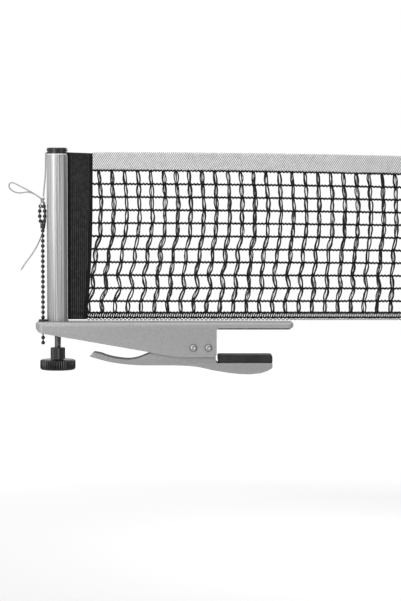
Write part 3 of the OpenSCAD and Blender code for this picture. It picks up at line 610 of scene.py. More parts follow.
def bright_metal(name, tone, roughness):
    """Plated steel with a faint cloudiness and hair scratches."""
    finish = Finish(name, roughness, 1.0)
    hair = finish.effect(STREAKS, Sizes=(0.3, 6.0, 0.3))
    finish.colour(finish.effect(GRAIN, Size=2.4, Depth=4.0), (0.3, tone - 12), (0.7, tone + 6))
    finish.gloss(hair, roughness * 0.7, roughness * 1.7)
    finish.relief(hair, 0.006, 0.4)
    return finish.material


def black_plastic(name, tone, roughness):
    """Moulded plastic with a spark-eroded skin, greyer on rubbed edges."""
    finish = Finish(name, roughness, Specular_IOR_Level=0.5)
    skin = finish.effect(GRAIN, Size=0.35, Depth=3.0)
    cloudy = finish.effect(GRAIN, Size=6.0, Depth=3.0)
    base = finish.colour(cloudy, (0.3, tone - 5), (0.7, tone + 5))
    finish.rubbed(base, tone + 66, 0.4, 0.6)
    finish.gloss(skin, roughness - 0.08, roughness + 0.1)
    finish.relief(skin, 0.03, 0.5)
    return finish.material


def rubber():
    finish = Finish("pad rubber", 0.72, Specular_IOR_Level=0.35)
    skin = finish.effect(GRAIN, Size=0.5, Depth=5.0)
    base = finish.colour(finish.effect(GRAIN, Size=9.0, Depth=4.0), (0.35, 34), (0.7, 50))
    finish.rubbed(base, 82, 0.7, 0.6)
    finish.gloss(skin, 0.6, 0.85)
    finish.relief(skin, 0.06, 0.7)
    return finish.material


RIB = 1.7


def sleeve_cloth(name, tone):
    """Black polyester with upright ribs."""
    finish = Finish(name, 0.9, Sheen_Weight=0.05, Specular_IOR_Level=0.25)
    shades = finish.effect(RIBS, "Shade", Rib=RIB, Pick=0.9)
    finish.colour(shades, (0.25, tone * 0.15), (0.5, tone * 0.8), (0.74, tone * 2.6))
    finish.relief(finish.effect(RIBS, "Height", Rib=RIB, Pick=0.9), 0.12, 0.8)
    return finish.material


def tape_cloth():
    """White cotton tape with slanting twill lines."""
    finish = Finish("white twill tape", 0.9, Sheen_Weight=0.15, Sheen_Roughness=0.5)
    shades = finish.effect(TWILL, "Shade", Pitch=1.7, Slope=0.6)
    finish.colour(shades, (0.14, 118), (0.45, 196), (0.8, 242))
    finish.relief(finish.effect(TWILL, "Height", Pitch=1.7, Slope=0.6), 0.05, 0.6)
    finish.relief(finish.effect(GRAIN, Size=0.25, Depth=3.0), 0.05, 0.5)
    return finish.material


def thread(name, dark, light, size=0.3):
    """Twisted thread: short fibres of two tones."""
    finish = Finish(name, 0.88, Sheen_Weight=0.05, Specular_IOR_Level=0.2)
    fibre = finish.effect(GRAIN, Size=size, Depth=4.0)
    finish.colour(fibre, (0.3, dark), (0.7, light))
    finish.relief(fibre, 0.05, 0.8)
    return finish.material


BODY_PAINT = satin_paint("silver body lacquer", 164)
LEVER_PAINT = satin_paint("silver lever lacquer", 157)
ALUMINIUM = aluminium_streaks_and_reflections()
# Near-white lip: a real rolled lip whose tone is a painted highlight along the post's slot and
# rim.
LIP_PAINTED_HIGHLIGHT = satin_paint("polished lip", 236, 6)
RIVET_CHROME = bright_metal("rivet chrome", 168, 0.1)
SCREW_CHROME = bright_metal("screw chrome", 142, 0.11)
CHAIN_STEEL = bright_metal("chain nickel", 66, 0.09)
SPRING_STEEL = bright_metal("spring steel", 120, 0.28)
BUSH_STEEL = bright_metal("zinc plated steel", 165, 0.3)
CAP_BLACK = black_plastic("cap plastic", 22, 0.3)
KNOB_BLACK = black_plastic("knob plastic", 8, 0.17)
NYLON_BLACK = black_plastic("guide nylon", 38, 0.5)
LOCK_BLACK = black_plastic("lock plastic", 28, 0.38)
ROD_WHITE = thread("rod plastic", 190, 215, 1.5)
PAD_RUBBER = rubber()
SLEEVE_CLOTH = sleeve_cloth("ribbed sleeve cloth", 24)
# Darker sleeve cloth: painted shade along the sleeve's edges and beside the post slot.
SLEEVE_EDGE_SHADE = sleeve_cloth("sleeve binding", 12)
TAPE_CLOTH = tape_cloth()
NET_THREAD = thread("net thread", 6, 22)
NET_FILAMENT = thread("net filament", 34, 70)
HEM_THREAD = thread("hem thread", 6, 22)
STITCH_BLACK = thread("black stitches", 6, 20)
STITCH_PALE = thread("pale stitches", 150, 200)
CORD_WHITE = thread("white cord", 136, 206)


# ---- Ball chain ----

BALL_D = 3.2
BALL_PITCH = 4.4
BALL_GAP = 0.1
BALLS_DOWN, BALLS_UP = 5, 18
BEAD_R, BEAD_HOLE, BEAD_LIP = 1.7, 0.6, 0.3
WIRE_R = 0.58
CHAIN_GAP = 3.55
CHAIN_X = POST_LEFT - CHAIN_GAP
LOCK_TOP = limits("chain_lock")[1].z
LOCK_T = 0.9
COUPLING_TOP = limits("chain_coupling")[1].z
LOOP_BALLS = 8
LOOP_R = 2.6
LOOP_SHIFT = -0.4
LOOP_TURN = radians(-32)
LOOP_LOW = COUPLING_TOP + 0.9
LOOP_SIDE = (LOOP_BALLS * BALL_PITCH - tau * LOOP_R) / 2
LOOP_HIGH = LOOP_LOW + LOOP_SIDE + 2 * LOOP_R


def into_loop(point):
    """A point of the chain loop's own plane, put where the loop hangs."""
    turned = Matrix.Rotation(LOOP_TURN, 3, "Z") @ Vector(point)
    return turned + spot(CHAIN_X + LOOP_SHIFT, 0, 0)


def loop_point(distance):
    """The point at a distance round the chain's loop, from its lowest point."""
    quarter = pi * LOOP_R / 2
    total = 2 * LOOP_SIDE + 4 * quarter
    distance %= total
    side = -1 if distance > total / 2 else 1
    up = min(distance, total - distance)
    if up < quarter:
        turn = up / LOOP_R
        x, z = LOOP_R * sin(turn), LOOP_R * (1 - cos(turn))
    elif up > quarter + LOOP_SIDE:
        turn = (up - quarter - LOOP_SIDE) / LOOP_R
        x, z = LOOP_R * cos(turn), LOOP_R + LOOP_SIDE + LOOP_R * sin(turn)
    else:
        x, z = LOOP_R, LOOP_R + up - quarter
    return into_loop((side * x, 0, LOOP_LOW + z))


def chain_bead():
    """One hollow ball with a small turned-in hole at each pole."""
    first = asin(BEAD_HOLE / BEAD_R)
    arc = [first + (pi - 2 * first) * share for share in shares(8)]
    outside = [(BEAD_R * sin(a), -BEAD_R * cos(a)) for a in arc]
    end = outside[-1][1]
    inside = [(BEAD_HOLE, end - BEAD_LIP), (0, end - BEAD_LIP - 0.05)]
    profile = [(r, -z) for r, z in reversed(inside)] + outside + inside
    return lathe("ball", profile, 14, CHAIN_STEEL, 50)


def make_chain():
    low = LOCK_TOP - LOCK_T - BALL_D / 2 - BALL_GAP
    high = LOCK_TOP + BALL_D / 2 + 2 * BALL_GAP
    heights = [low - i * BALL_PITCH for i in reversed(range(BALLS_DOWN))]
    heights += [high + i * BALL_PITCH for i in range(BALLS_UP)]
    strand = [spot(CHAIN_X, 0, z) for z in heights]
    loop = [loop_point((i + 0.5) * BALL_PITCH) for i in range(LOOP_BALLS)]
    balls = row_of("balls", [strand, loop], chain_bead(), CHAIN_STEEL, 50)
    ends = [strand[-1], spot(CHAIN_X, 0, COUPLING_TOP - 0.6)]
    foot = into_loop((0, 0, LOOP_LOW - 1.5))
    wires = [strand, ends, [*loop, loop[0]], [foot, (loop[0] + loop[-1]) / 2]]
    links = strands("links", wires, WIRE_R, 8, CHAIN_STEEL)
    join("bead_chain", [balls, links], 50, "ball_chain")


# ---- Cord ----

CORD_D = 1.3
CORD_R = CORD_D / 2
EYE_R = 2.35
CAD_LINK_R = 0.45
LINK_RISE = LOOP_R * (1 - cos(BALL_PITCH / LOOP_R / 2))
EYE_Z = LOOP_HIGH - LINK_RISE - CAD_LINK_R - (CORD_R + 0.05) + EYE_R
KNOT = spot(CHAIN_X - 0.3, 0, EYE_Z + EYE_R + 1.9 + CORD_R - 0.5)

# From the cap's mouth: how far out from the post's left side, and how far above its top.
CORD_MOUTH = [(-5.2, 0.7), (-2.6, 0.7), (-0.3, 0.7), (0.27, 0.65), (0.65, 0.27), (0.75, -0.4)]
# Down to the knot: shares of the chain's distance from the post, and of the height.
CORD_DOWN = [
    (0.21, 0.95), (0.24, 0.87), (0.24, 0.78), (0.27, 0.68), (0.32, 0.58), (0.39, 0.48),
    (0.48, 0.38), (0.60, 0.27), (0.71, 0.17), (0.79, 0.0625),
]
# From the knot.
CORD_LOOP = [
    (-1.6, -0.75, 1.4), (-4.3, -0.95, 3.3), (-7.7, -1.1, 5.6), (-11.7, -1.2, 7.9),
    (-15.7, -1.3, 10), (-19.7, -1.2, 12), (-23.1, -1, 13.8), (-25.9, -0.6, 14.7),
    (-27.9, 0, 13.8), (-28.7, 0.5, 11.8), (-27.9, 1, 9.6), (-25.7, 1.3, 7.6), (-22.7, 1.4, 6.2),
    (-19.2, 1.4, 5.8), (-15.7, 1.3, 6.3), (-12.1, 1.2, 6.5), (-8.3, 1.1, 5.4),
    (-4.7, 0.95, 3.6), (-1.6, 0.75, 1.2),
]
CORD_TAIL = [
    (0.55, 2.05, -0.9), (1.6, 3.4, -3), (2, 3.7, -6), (2.4, 3.6, -9.2), (2.7, 3.5, -12.4),
    (2.7, 3.4, -15.6), (2.4, 3.3, -19), (1.7, 3.2, -22.8), (0.6, 3, -26.6), (-0.6, 2.8, -30.2),
    (-2, 2.6, -33.8), (-3.6, 2.4, -37.4), (-5.4, 2.2, -41), (-7.4, 2, -44.4), (-9.6, 1.8, -47.8),
    (-12, 1.6, -51), (-14.4, 1.4, -54.2), (-16.6, 1.2, -57.4), (-18.6, 1, -60.6),
]
PLAIT_LENGTH, PLAIT_DEPTH, PLAIT_STRANDS = 2.1, 0.1, 2


def plaited(name, paths, radius, sides=16, step=0.3):
    """Round plaited cord along paths: two sets of strands wind round it and cross."""
    points, faces = [], []
    for path in paths:
        line = spaced(path, step)
        first = len(points)
        across = (line[1] - line[0]).orthogonal().normalized()
        for i, centre in enumerate(line):
            ahead = (line[min(i + 1, len(line) - 1)] - line[max(i - 1, 0)]).normalized()
            across = (across - ahead * across.dot(ahead)).normalized()
            beside = ahead.cross(across)
            walked = pi * i * step / PLAIT_LENGTH
            for turn in (tau * k / sides for k in range(sides)):
                over = abs(sin(PLAIT_STRANDS * turn + walked))
                under = abs(sin(PLAIT_STRANDS * turn - walked))
                size = radius * (1 - PLAIT_DEPTH * (1 - max(over, under)))
                points.append(centre + (across * cos(turn) + beside * sin(turn)) * size)
        last = len(points) - sides
        faces += tube_faces(len(line), sides, first)
        faces.append([first + k for k in reversed(range(sides))])
        faces.append([last + k for k in range(sides)])
    return mesh_piece(name, points, faces, CORD_WHITE, 60)


def free_cord(piece, path, exit, far_end, lay, **more):
    tuple(Vector(exit) * MM)
    path_length(path) * MM


def make_knot():
    """The knot with its eye round the chain's top link."""
    width, depth = 0.46, 0.8

    def crossing(a):
        x, z = sin(a) + 2 * sin(2 * a), cos(a) - 2 * cos(2 * a)
        return KNOT + spot(width * x, depth * sin(3 * a), width * z)

    def wrap(a):
        return KNOT + spot(0.95 * cos(a), 0.95 * sin(a), -2.3 + 0.55 * a / pi)

    def hitch(a):
        return KNOT + spot(0.8 + cos(a), 0.9 * sin(a), 1 + 0.35 * sin(2 * a))

    def eye(a):
        return into_loop((0, EYE_R * cos(a), EYE_Z + EYE_R * sin(a)))

    courses = ((1, 40, eye), (1, 72, crossing), (1.6, 50, wrap), (1, 40, hitch))
    paths = [winding(*course) for course in courses]
    knot = plaited("cord_hitch", paths, CORD_R * 0.92, 14, 0.25)
    carry(knot, "cord_knot")
    return knot


def make_cords():
    knot = make_knot()
    rows = [(POST_LEFT - out, 0, POST_TOP + up) for out, up in CORD_MOUTH]
    rows += [
        (POST_LEFT - out * CHAIN_GAP, 0, KNOT.z + up * (POST_TOP - KNOT.z))
        for out, up in CORD_DOWN
    ]
    run = smooth(rows, 4)
    taut = plaited("cord_run", [run], CORD_R)
    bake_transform(taut)
    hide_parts("tension_cord")
    mouth = (POST_LEFT, 0, POST_TOP + CORD_MOUTH[0][1])
    free_cord(taut, run, mouth, "knot", "taut", with_pieces=[knot])
    for name, node, rows, far_end, lay in (
        ("cord_bow", "cord_loop", CORD_LOOP, "knot", "loose"),
        ("cord_end", "cord_tail", CORD_TAIL, "bare", "hanging"),
    ):
        path = smooth([KNOT + Vector(row) for row in rows], 4)
        piece = plaited(name, [path], CORD_R)
        carry(piece, node)
        free_cord(piece, path, path[0], far_end, lay)


# ---- Net ----

TAPE_LOW, TAPE_HIGH = limits("net_tape")
NET_X0, NET_X1, NET_TOP = TAPE_LOW.x, TAPE_HIGH.x, TAPE_HIGH.z
NET_FOOT, HEM_TOP = limits("net_hem")[0].z, limits("net_hem")[1].z
NET_SAG = 3.6
TAPE_H = 16.2
SLEEVE_CURL = 5.6

ROWS, LAST_ROW_Z = 11, 23.9
ROW_R, MAIN_R, FINE_R = 0.88, 0.58, 0.28
CORD_WAVE, CORD_RISE, CORD_SWING = 2.9, 0.6, 0.12
WAVE_CREST = 0.65
THREADS, MESH_PITCH, FIRST_THREAD = 26, 11.08, NET_X0 + 5.2
DRIFT_NEAR, DRIFT_FAR = 8.6, 2.5
DRIFT_START, DRIFT_SPAN, DRIFT_POWER = 0.3, 0.65, 1.3
BELLY, BELLY_END = 2.0, 0.6
ZIGZAG = (0, 0, 0, 0, 0, 0.9, -1.0, 0.8, -1.7, 1.9, -1.4, 0.3)
UNEVEN, UNEVEN_COLUMN, UNEVEN_ROW = 0.4, 7.3, 4.1
MAIN_BOW, MAIN_GATHER = 1.4, 0.8
FINE_BOW_LEAST, FINE_BOW_MOST, FINE_GATHER = 0.2, 1.5, 0.4
MIDDLE_STRANDS, MIDDLE_BOW = 3, 1.6

HEM_HIGH, HEM_LOW = HEM_TOP + 0.5, NET_FOOT + 1.6
HEM_CORD_R, LADDER_R, HEM_PITCH = [0.9, 0.85], 0.66, 1.95
LOOPS_LOW, LOOPS_PITCH, LOOPS_R = 7.7, 3.5, 0.36


def span_share(x):
    return max(0, (x - NET_X0) / (NET_X1 - NET_X0))


def top_z(x):
    return NET_TOP - NET_SAG * span_share(x) ** 2


def tape_z(x):
    return top_z(x) - TAPE_H


def sleeve_edge(z):
    """The near sleeve's edge curls in towards the bottom."""
    return NET_X0 - SLEEVE_CURL * (max(0, NET_TOP - z) / (NET_TOP - NET_FOOT)) ** 3


def cross_x(row, column):
    """Where an upright line crosses a row; row 0 is the tape's edge and ROWS the hem."""
    down = row / ROWS
    x = FIRST_THREAD + column * MESH_PITCH
    share = span_share(x)
    belly = BELLY * sin(pi * min(down / BELLY_END, 1))
    drift = DRIFT_NEAR + (DRIFT_FAR - DRIFT_NEAR) * share
    pulled = drift * max(0, (down - DRIFT_START) / DRIFT_SPAN) ** DRIFT_POWER
    uneven = UNEVEN * sin(UNEVEN_COLUMN * column + UNEVEN_ROW * row) * min(1, row)
    return x + belly - pulled + uneven + ZIGZAG[row] * (1 - 0.5 * share)


def cross_z(row, x):
    """Height of a row; the last gap, above the hem, is smaller than the others."""
    if row == ROWS:
        return HEM_HIGH
    return tape_z(x) + (LAST_ROW_Z - tape_z(x)) * row / (ROWS - 1)


def row_cord(row, phase):
    """A row's waved cord, from under the near sleeve to under the far one."""
    step, hidden = 0.5, 1.5
    x0 = sleeve_edge(cross_z(row, NET_X0)) - hidden
    points = []
    for i in range(round((NET_X1 + hidden - x0) / step) + 1):
        x = x0 + i * step
        saw = (x / CORD_WAVE + phase) % 1
        rise = saw / WAVE_CREST if saw < WAVE_CREST else (1 - saw) / (1 - WAVE_CREST)
        swing = CORD_SWING * sin(tau * x / CORD_WAVE / 2 + phase)
        points.append(spot(x, swing, cross_z(row, x) + CORD_RISE * (2 * rise - 1)))
    return points


def upright(column, bow, gather, chance):
    """One strand of an upright bundle, gathered at each row and bowed out between."""
    steps, sway = 6, 0.18 if gather > 0 else -0.18
    points = []
    for row in range(ROWS):
        reach = bow * (0.6 + 0.8 * chance.random())
        lean = chance.uniform(-0.3, 0.3)
        for t in (k / steps for k in range(steps)):
            x = cross_x(row, column) * (1 - t) + cross_x(row + 1, column) * t
            z = cross_z(row, x) * (1 - t) + cross_z(row + 1, x) * t
            out = gather + (reach - gather) * sin(pi * t) + lean * sin(tau * t)
            points.append(spot(x + out, sway * sin(pi * (row + t)), z))
    x = cross_x(ROWS, column)
    return points + [spot(x + gather, 0, cross_z(ROWS, x))]


def make_net():
    chance = random.Random(7)
    rows = [row_cord(row, chance.random()) for row in range(1, ROWS)]
    mains, fine = [], []
    for column in range(THREADS):
        for side in (-1, 1):
            mains.append(upright(column, side * MAIN_BOW, side * MAIN_GATHER, chance))
            bow = chance.uniform(FINE_BOW_LEAST, FINE_BOW_MOST)
            fine.append(upright(column, side * bow, side * FINE_GATHER, chance))
        for _ in range(MIDDLE_STRANDS):
            fine.append(upright(column, chance.uniform(-MIDDLE_BOW, MIDDLE_BOW), 0.1, chance))
    pieces = [
        strands("row cords", rows, ROW_R, 6, NET_THREAD),
        strands("upright strands", mains, MAIN_R, 5, NET_THREAD),
        strands("fine strands", fine, FINE_R, 4, NET_FILAMENT),
    ]
    return join("net_threads", pieces, 80, "net_mesh")


def arches(z_of, pitch, rise, side, x0, x1):
    """Small arches in a row, such as the loops that sew a cord to the cloth above it."""
    points = []
    for share in shares(round((x1 - x0) / (pitch / 6))):
        x = x0 + (x1 - x0) * share
        arch = abs(sin(pi * (x - x0) / pitch))
        points.append(spot(x, side, z_of(x) + rise * arch**0.7))
    return points


def make_hem():
    """Two waved cords joined by slanting stitches."""
    top = row_cord(ROWS, 0.3)
    low = [spot(p.x, p.y, HEM_LOW + 0.7 * (p.z - HEM_HIGH)) for p in row_cord(ROWS, 0.8)]
    start = sleeve_edge(HEM_HIGH)
    middle = (HEM_LOW + HEM_HIGH) / 2
    ladder = []
    for i in range(int((NET_X1 - start) / HEM_PITCH)):
        x = start + i * HEM_PITCH
        for side in (-0.5, 0.5):
            stitch = [(x, side, HEM_LOW), (x + 0.4, side * 1.3, middle), (x + 1.5, side, HEM_HIGH)]
            ladder.append([Vector(point) for point in stitch])
    pieces = [
        strands("hem cords", [top, low], HEM_CORD_R, 6, HEM_THREAD),
        strands("hem ladder", ladder, LADDER_R, 5, HEM_THREAD),
    ]
    return join("net_foot_cords", pieces, 80, "net_hem")


def make_hem_loops():
    """Thin loops below the hem, where the net comes down on the clamp."""
    start, drop = sleeve_edge(9), LOOPS_LOW - HEM_LOW
    paths = [
        arches(lambda x: HEM_LOW, LOOPS_PITCH, drop, side, start, NET_X1)
        for side in (-0.35, 0.35)
    ]
    loops = strands("hem_loops", paths, LOOPS_R, 5, HEM_THREAD)
    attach(loops, "post")
    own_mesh(loops)
    return loops


def make_whole_net():
    net = make_net()
    hem = make_hem()
    loops = make_hem_loops()


# ---- Sleeves and tape ----

LAYER = 1.1
RIB_DEPTH = 0.16
ROD_LOOP_R = 3.05
FAR_X = (limits("far_rod")[0].x + limits("far_rod")[1].x) / 2
SLEEVE_X0 = POST_HIGH.x + 0.1
SEAM_INSETS = (1.1, 2.5)
SEAM_START = NET_FOOT + 1.5
STITCH_LENGTH, STITCH_R = 2.0, 0.2


def band(name, rows, wall, up, material, relief=lambda walked: 0.0):
    """A closed cloth band: rows of centre lines, thickened to both sides across up."""
    points = []
    count = len(rows[0])
    for row in rows:
        outer, inner, walked = [], [], 0.0
        for k, point in enumerate(row):
            ahead = (row[min(k + 1, count - 1)] - row[max(k - 1, 0)]).normalized()
            normal = ahead.cross(up).normalized()
            if k:
                walked += (point - row[k - 1]).length
            outer.append(point + normal * (wall / 2 + relief(walked)))
            inner.append(point - normal * wall / 2)
        points += outer + inner[::-1]
    size = 2 * count
    faces = tube_faces(len(rows), size)
    last = (len(rows) - 1) * size
    for k in range(count - 1):
        mirror = size - 1 - k
        faces.append([k + 1, k, mirror, mirror - 1])
        faces.append([last + k, last + k + 1, last + mirror - 1, last + mirror])
    piece = mesh_piece(name, points, faces, material, 60)
    outward(piece.data)
    return piece


def outward(mesh):
    """Turns all faces of a closed mesh outwards."""
    shell = bmesh.new()
    shell.from_mesh(mesh)
    bmesh.ops.recalc_face_normals(shell, faces=shell.faces)
    shell.to_mesh(mesh)
    shell.free()


def ribs(walked):
    return RIB_DEPTH * (abs(sin(pi * walked / RIB)) ** 0.7 - 0.5)


def sleeve_rows(rod_x, edge_of, low_of, high_of, fold_of, count):
    """Centre lines of a sleeve: one layer, round the rod, and the other layer back."""
    side = 1 if edge_of(NET_TOP) > rod_x else -1
    layer_y = LAYER / 2 + 0.04
    lap = asin(layer_y / ROD_LOOP_R)
    near = rod_x + side * ROD_LOOP_R * cos(lap)
    web = int((abs(edge_of(NET_TOP) - rod_x) - ROD_LOOP_R) / (RIB / 4))
    turns = 24
    rows = []
    for share in shares(count):
        far = edge_of(NET_FOOT + share * (NET_TOP - NET_FOOT))
        front, loop = [], []
        for step in shares(web):
            x = far + (near - far) * step
            z = low_of(x) + share * (high_of(x) - low_of(x))
            front.append(spot(x, fold_of(x, z) - layer_y, z))
        z = low_of(rod_x) + share * (high_of(rod_x) - low_of(rod_x))
        for k in range(1, turns):
            turn = -lap - (tau - 2 * lap) * k / turns
            x = rod_x + side * ROD_LOOP_R * cos(turn)
            loop.append(spot(x, ROD_LOOP_R * sin(turn), z))
        back = [spot(p.x, p.y + 2 * layer_y, p.z) for p in reversed(front)]
        rows.append(front + loop + back)
    return rows


def paint_edge_shade(mesh, in_shade):
    """Gives the faces that the test picks out a darker cloth, as painted shade along the sleeve's
    edges.
    """
    mesh.materials.append(SLEEVE_EDGE_SHADE)
    for face in mesh.polygons:
        if in_shade(face.center.x / MM, face.center.z / MM):
            face.material_index = 1


def stitch_shape():
    """One stitch: a short thread that dives in at both ends, lying along Z."""
    shape = [(0, 1), (0.55, 0.92), (1, 0.5), (1.05, 0), (1, -0.5), (0.55, -0.92), (0, -1)]
    profile = [(r * STITCH_R, -z * STITCH_LENGTH / 2) for r, z in shape]
    return lathe("stitch", profile, 6, STITCH_BLACK, 80)


def sleeve(name, node, cloth, columns, fold_of, count, gap):
    """Cloth with seams on both faces; each column says how far along x its seam runs."""
    seams = []
    for column in columns:
        for side in (-1, 1):
            heights = [SEAM_START + i * gap for i in range(count)]
            places = [(column(z), fold_of(column(z), z), z) for z in heights]
            seams.append([spot(x, y + side * (LAYER + 0.16), z) for x, y, z in places])
    seam = row_of("seams", seams, stitch_shape(), STITCH_BLACK, 80)
    sewn = join(name, [cloth, seam], 60, node)


def make_near_sleeve():
    node_high = limits("net_sleeve")[1].z
    slot_low, slot_high = limits("net_rod")[0].z, POST_TOP - 0.5
    # The first two: widths of the painted shade band along the sleeve's edge and beside the post
    # slot.
    edge_shade, slot_edge_shade, crease_start, crease_fade = 3, 2.6, 24, 12

    def outside(x):
        return held((x - SLEEVE_X0 + 0.3) / 0.3)

    def low_of(x):
        return slot_low + outside(x) * (NET_FOOT - slot_low)

    def high_of(x):
        slope = 0.8 * (x - SLEEVE_X0) / (NET_X0 - SLEEVE_X0)
        return slot_high + outside(x) * (node_high - 1.1 - slope - slot_high)

    def fold_of(x, z):
        """Soft sideways creases where the cloth gathers above the body."""
        if x < SLEEVE_X0 + 0.5:
            return 0.0
        gathered = held((crease_start - z) / crease_fade)
        crease = sin(tau * z / 5.4 + 0.9 * sin(x / 3.1))
        slack = 0.35 * sin(z / 23 + x / 9)
        return min((x - SLEEVE_X0) / 4, 1) * (gathered * 0.75 * crease + slack)

    # Where the cloth is painted darker as shade: along the sleeve's edge and beside the post slot.
    def in_edge_shade(x, z):
        return x > sleeve_edge(z) - edge_shade or SLEEVE_X0 < x < SLEEVE_X0 + slot_edge_shade

    rows = sleeve_rows(POST_X, sleeve_edge, low_of, high_of, fold_of, 110)
    cloth = band("near_sleeve", rows, LAYER, spot(0, 0, 1), SLEEVE_CLOTH, ribs)
    paint_edge_shade(cloth.data, in_edge_shade)
    columns = [lambda z, inset=inset: sleeve_edge(z) - inset for inset in SEAM_INSETS]
    columns.append(lambda z: SLEEVE_X0 + 1.6)
    sleeve(
        "near_sleeve_sewn", "net_sleeve",
        cloth, columns, fold_of, 53, 2.7,
    )


def make_far_sleeve():
    high = top_z(NET_X1)
    # The first: width of the painted shade band along the sleeve's edge.
    edge_shade, rod_seam = 3, 15.5

    def fold_of(x, z):
        free = sin(pi * held((x - NET_X1) / (FAR_X - NET_X1)))
        return 0.5 * free * sin(z / 19 + 1.1)

    rows = sleeve_rows(FAR_X, lambda z: NET_X1, lambda x: NET_FOOT, lambda x: high, fold_of, 60)
    cloth = band("far_sleeve_cloth", rows, LAYER, spot(0, 0, 1), SLEEVE_CLOTH, ribs)
    paint_edge_shade(cloth.data, lambda x, z: x < NET_X1 + edge_shade)
    columns = [lambda z, inset=inset: NET_X1 + inset for inset in (*SEAM_INSETS, rod_seam)]
    sleeve(
        "far_sleeve_sewn", "far_sleeve",
        cloth, columns, fold_of, 51, 2.75,
    )


def make_tape():
    """White tape folded over the net's head cord and sewn along its lower edge."""
    wall, half, belly, swell = 0.62, 0.62, 0.2, 0.16
    count, fold_steps, side_steps = 230, 8, 13
    swollen = (2, side_steps - 1)

    def layer(x, sway, low, high, side):
        points = []
        for k, share in enumerate(shares(side_steps)):
            out = belly * sin(pi * share) * sin(x / 13 + 2)
            thick = half + (swell if k in swollen else 0)
            points.append(spot(x, sway + out + side * thick, low + share * (high - low)))
        return points

    rows = []
    for share in shares(count):
        x = NET_X0 + (NET_X1 - NET_X0) * share
        sway = 0.22 * sin(x / 21) + 0.1 * sin(x / 7.3 + 1)
        low = tape_z(x) + 0.1 * sin(x / 5.1)
        high = top_z(x) - half - wall / 2
        fold = [
            spot(x, sway - half * cos(turn), high + half * sin(turn))
            for turn in (pi * k / fold_steps for k in range(1, fold_steps))
        ]
        front, back = (layer(x, sway, low, high, side) for side in (-1, 1))
        rows.append(front + fold + back[::-1])
    inside = [p for p in row_cord(0, 0.1) if NET_X0 - 0.5 < p.x < NET_X1 + 0.5]
    seam = [[spot(p.x, p.y * 0.5 + side * 0.75, p.z + 0.35) for p in inside] for side in (-1, 1)]
    loops = [
        arches(lambda x: tape_z(x) + 0.5, CORD_WAVE, 1.1, side, NET_X0 + 0.5, NET_X1 - 0.5)
        for side in (-1.12, 1.12)
    ]
    pieces = [
        band("tape cloth", rows, wall, spot(1, 0, 0), TAPE_CLOTH),
        strands("tape cords", seam, 0.8, 6, NET_THREAD),
        strands("tape loops", loops, 0.15, 4, STITCH_PALE),
    ]
    tape = join("white_tape", pieces, 60, "net_tape")


# ---- Rivets, screw and knob ----


def make_rivet(node):
    """Rivet across the body: low domed heads with a rolled rim and a punched centre."""
    low, high = limits(node)
    head_r, top = (high.x - low.x) / 2, high.y
    seat, shank_r = 14, 2.2
    dome = [(0, 0.55), (0.24, 0.5), (0.36, 0.06), (0.44, 0), (0.64, 0.16), (0.82, 0.5)]
    rim = [(0.88, 0.42), (0.95, 0.5), (1, 0.3), (1, 0)]
    head = [(share * head_r, top - down) for share, down in dome]
    head += [(share * head_r, seat + up) for share, up in rim] + [(shank_r, seat)]
    profile = [(r, -y) for r, y in head] + head[::-1]
    rivet = lathe("domed_" + node, profile, 40, RIVET_CHROME, 50)
    upright_to_across = Matrix.Rotation(pi / 2, 4, "X")
    middle = (low + high) / 2 * MM
    rivet.data.transform(Matrix.Translation((middle.x, 0, middle.z)) @ upright_to_across)
    carry(rivet, node)


def make_screw():
    """Height screw with a real thread below its neck."""
    low, high = limits("height_screw")
    core = limits("screw_clip")[0].z
    crest, root, pitch = 3.0, 2.5, 1.0
    neck, groove, groove_h, edge = 2.25, 1.85, 0.8, 0.4
    thread_top, run_out, per_turn = 7.4, 1.2, 8
    rows = int((thread_top - low.z) * per_turn / pitch)

    def thread_at(z):
        ends = max(min((z - low.z) / run_out, (thread_top - z) / run_out, 1), 0)

        def radius(turn):
            place = (z / pitch - turn / tau) % 1
            ridge = held((1 - abs(2 * place - 1) - 0.12) / 0.7)
            return root + (crest - root) * ridge * ends

        return radius

    heights = [low.z + (thread_top - low.z) * share for share in shares(rows)]
    profile = [(0, low.z)] + [(thread_at(z), z) for z in heights]
    profile += [
        (neck, thread_top + 0.2), (neck, core), (groove, core), (groove, core + groove_h),
        (neck, core + groove_h), (neck, high.z - edge), (neck - edge, high.z), (0, high.z),
    ]
    screw = lathe("threaded_screw", profile, 28, SCREW_CHROME, 50, POST_X)
    carry(screw, "height_screw")


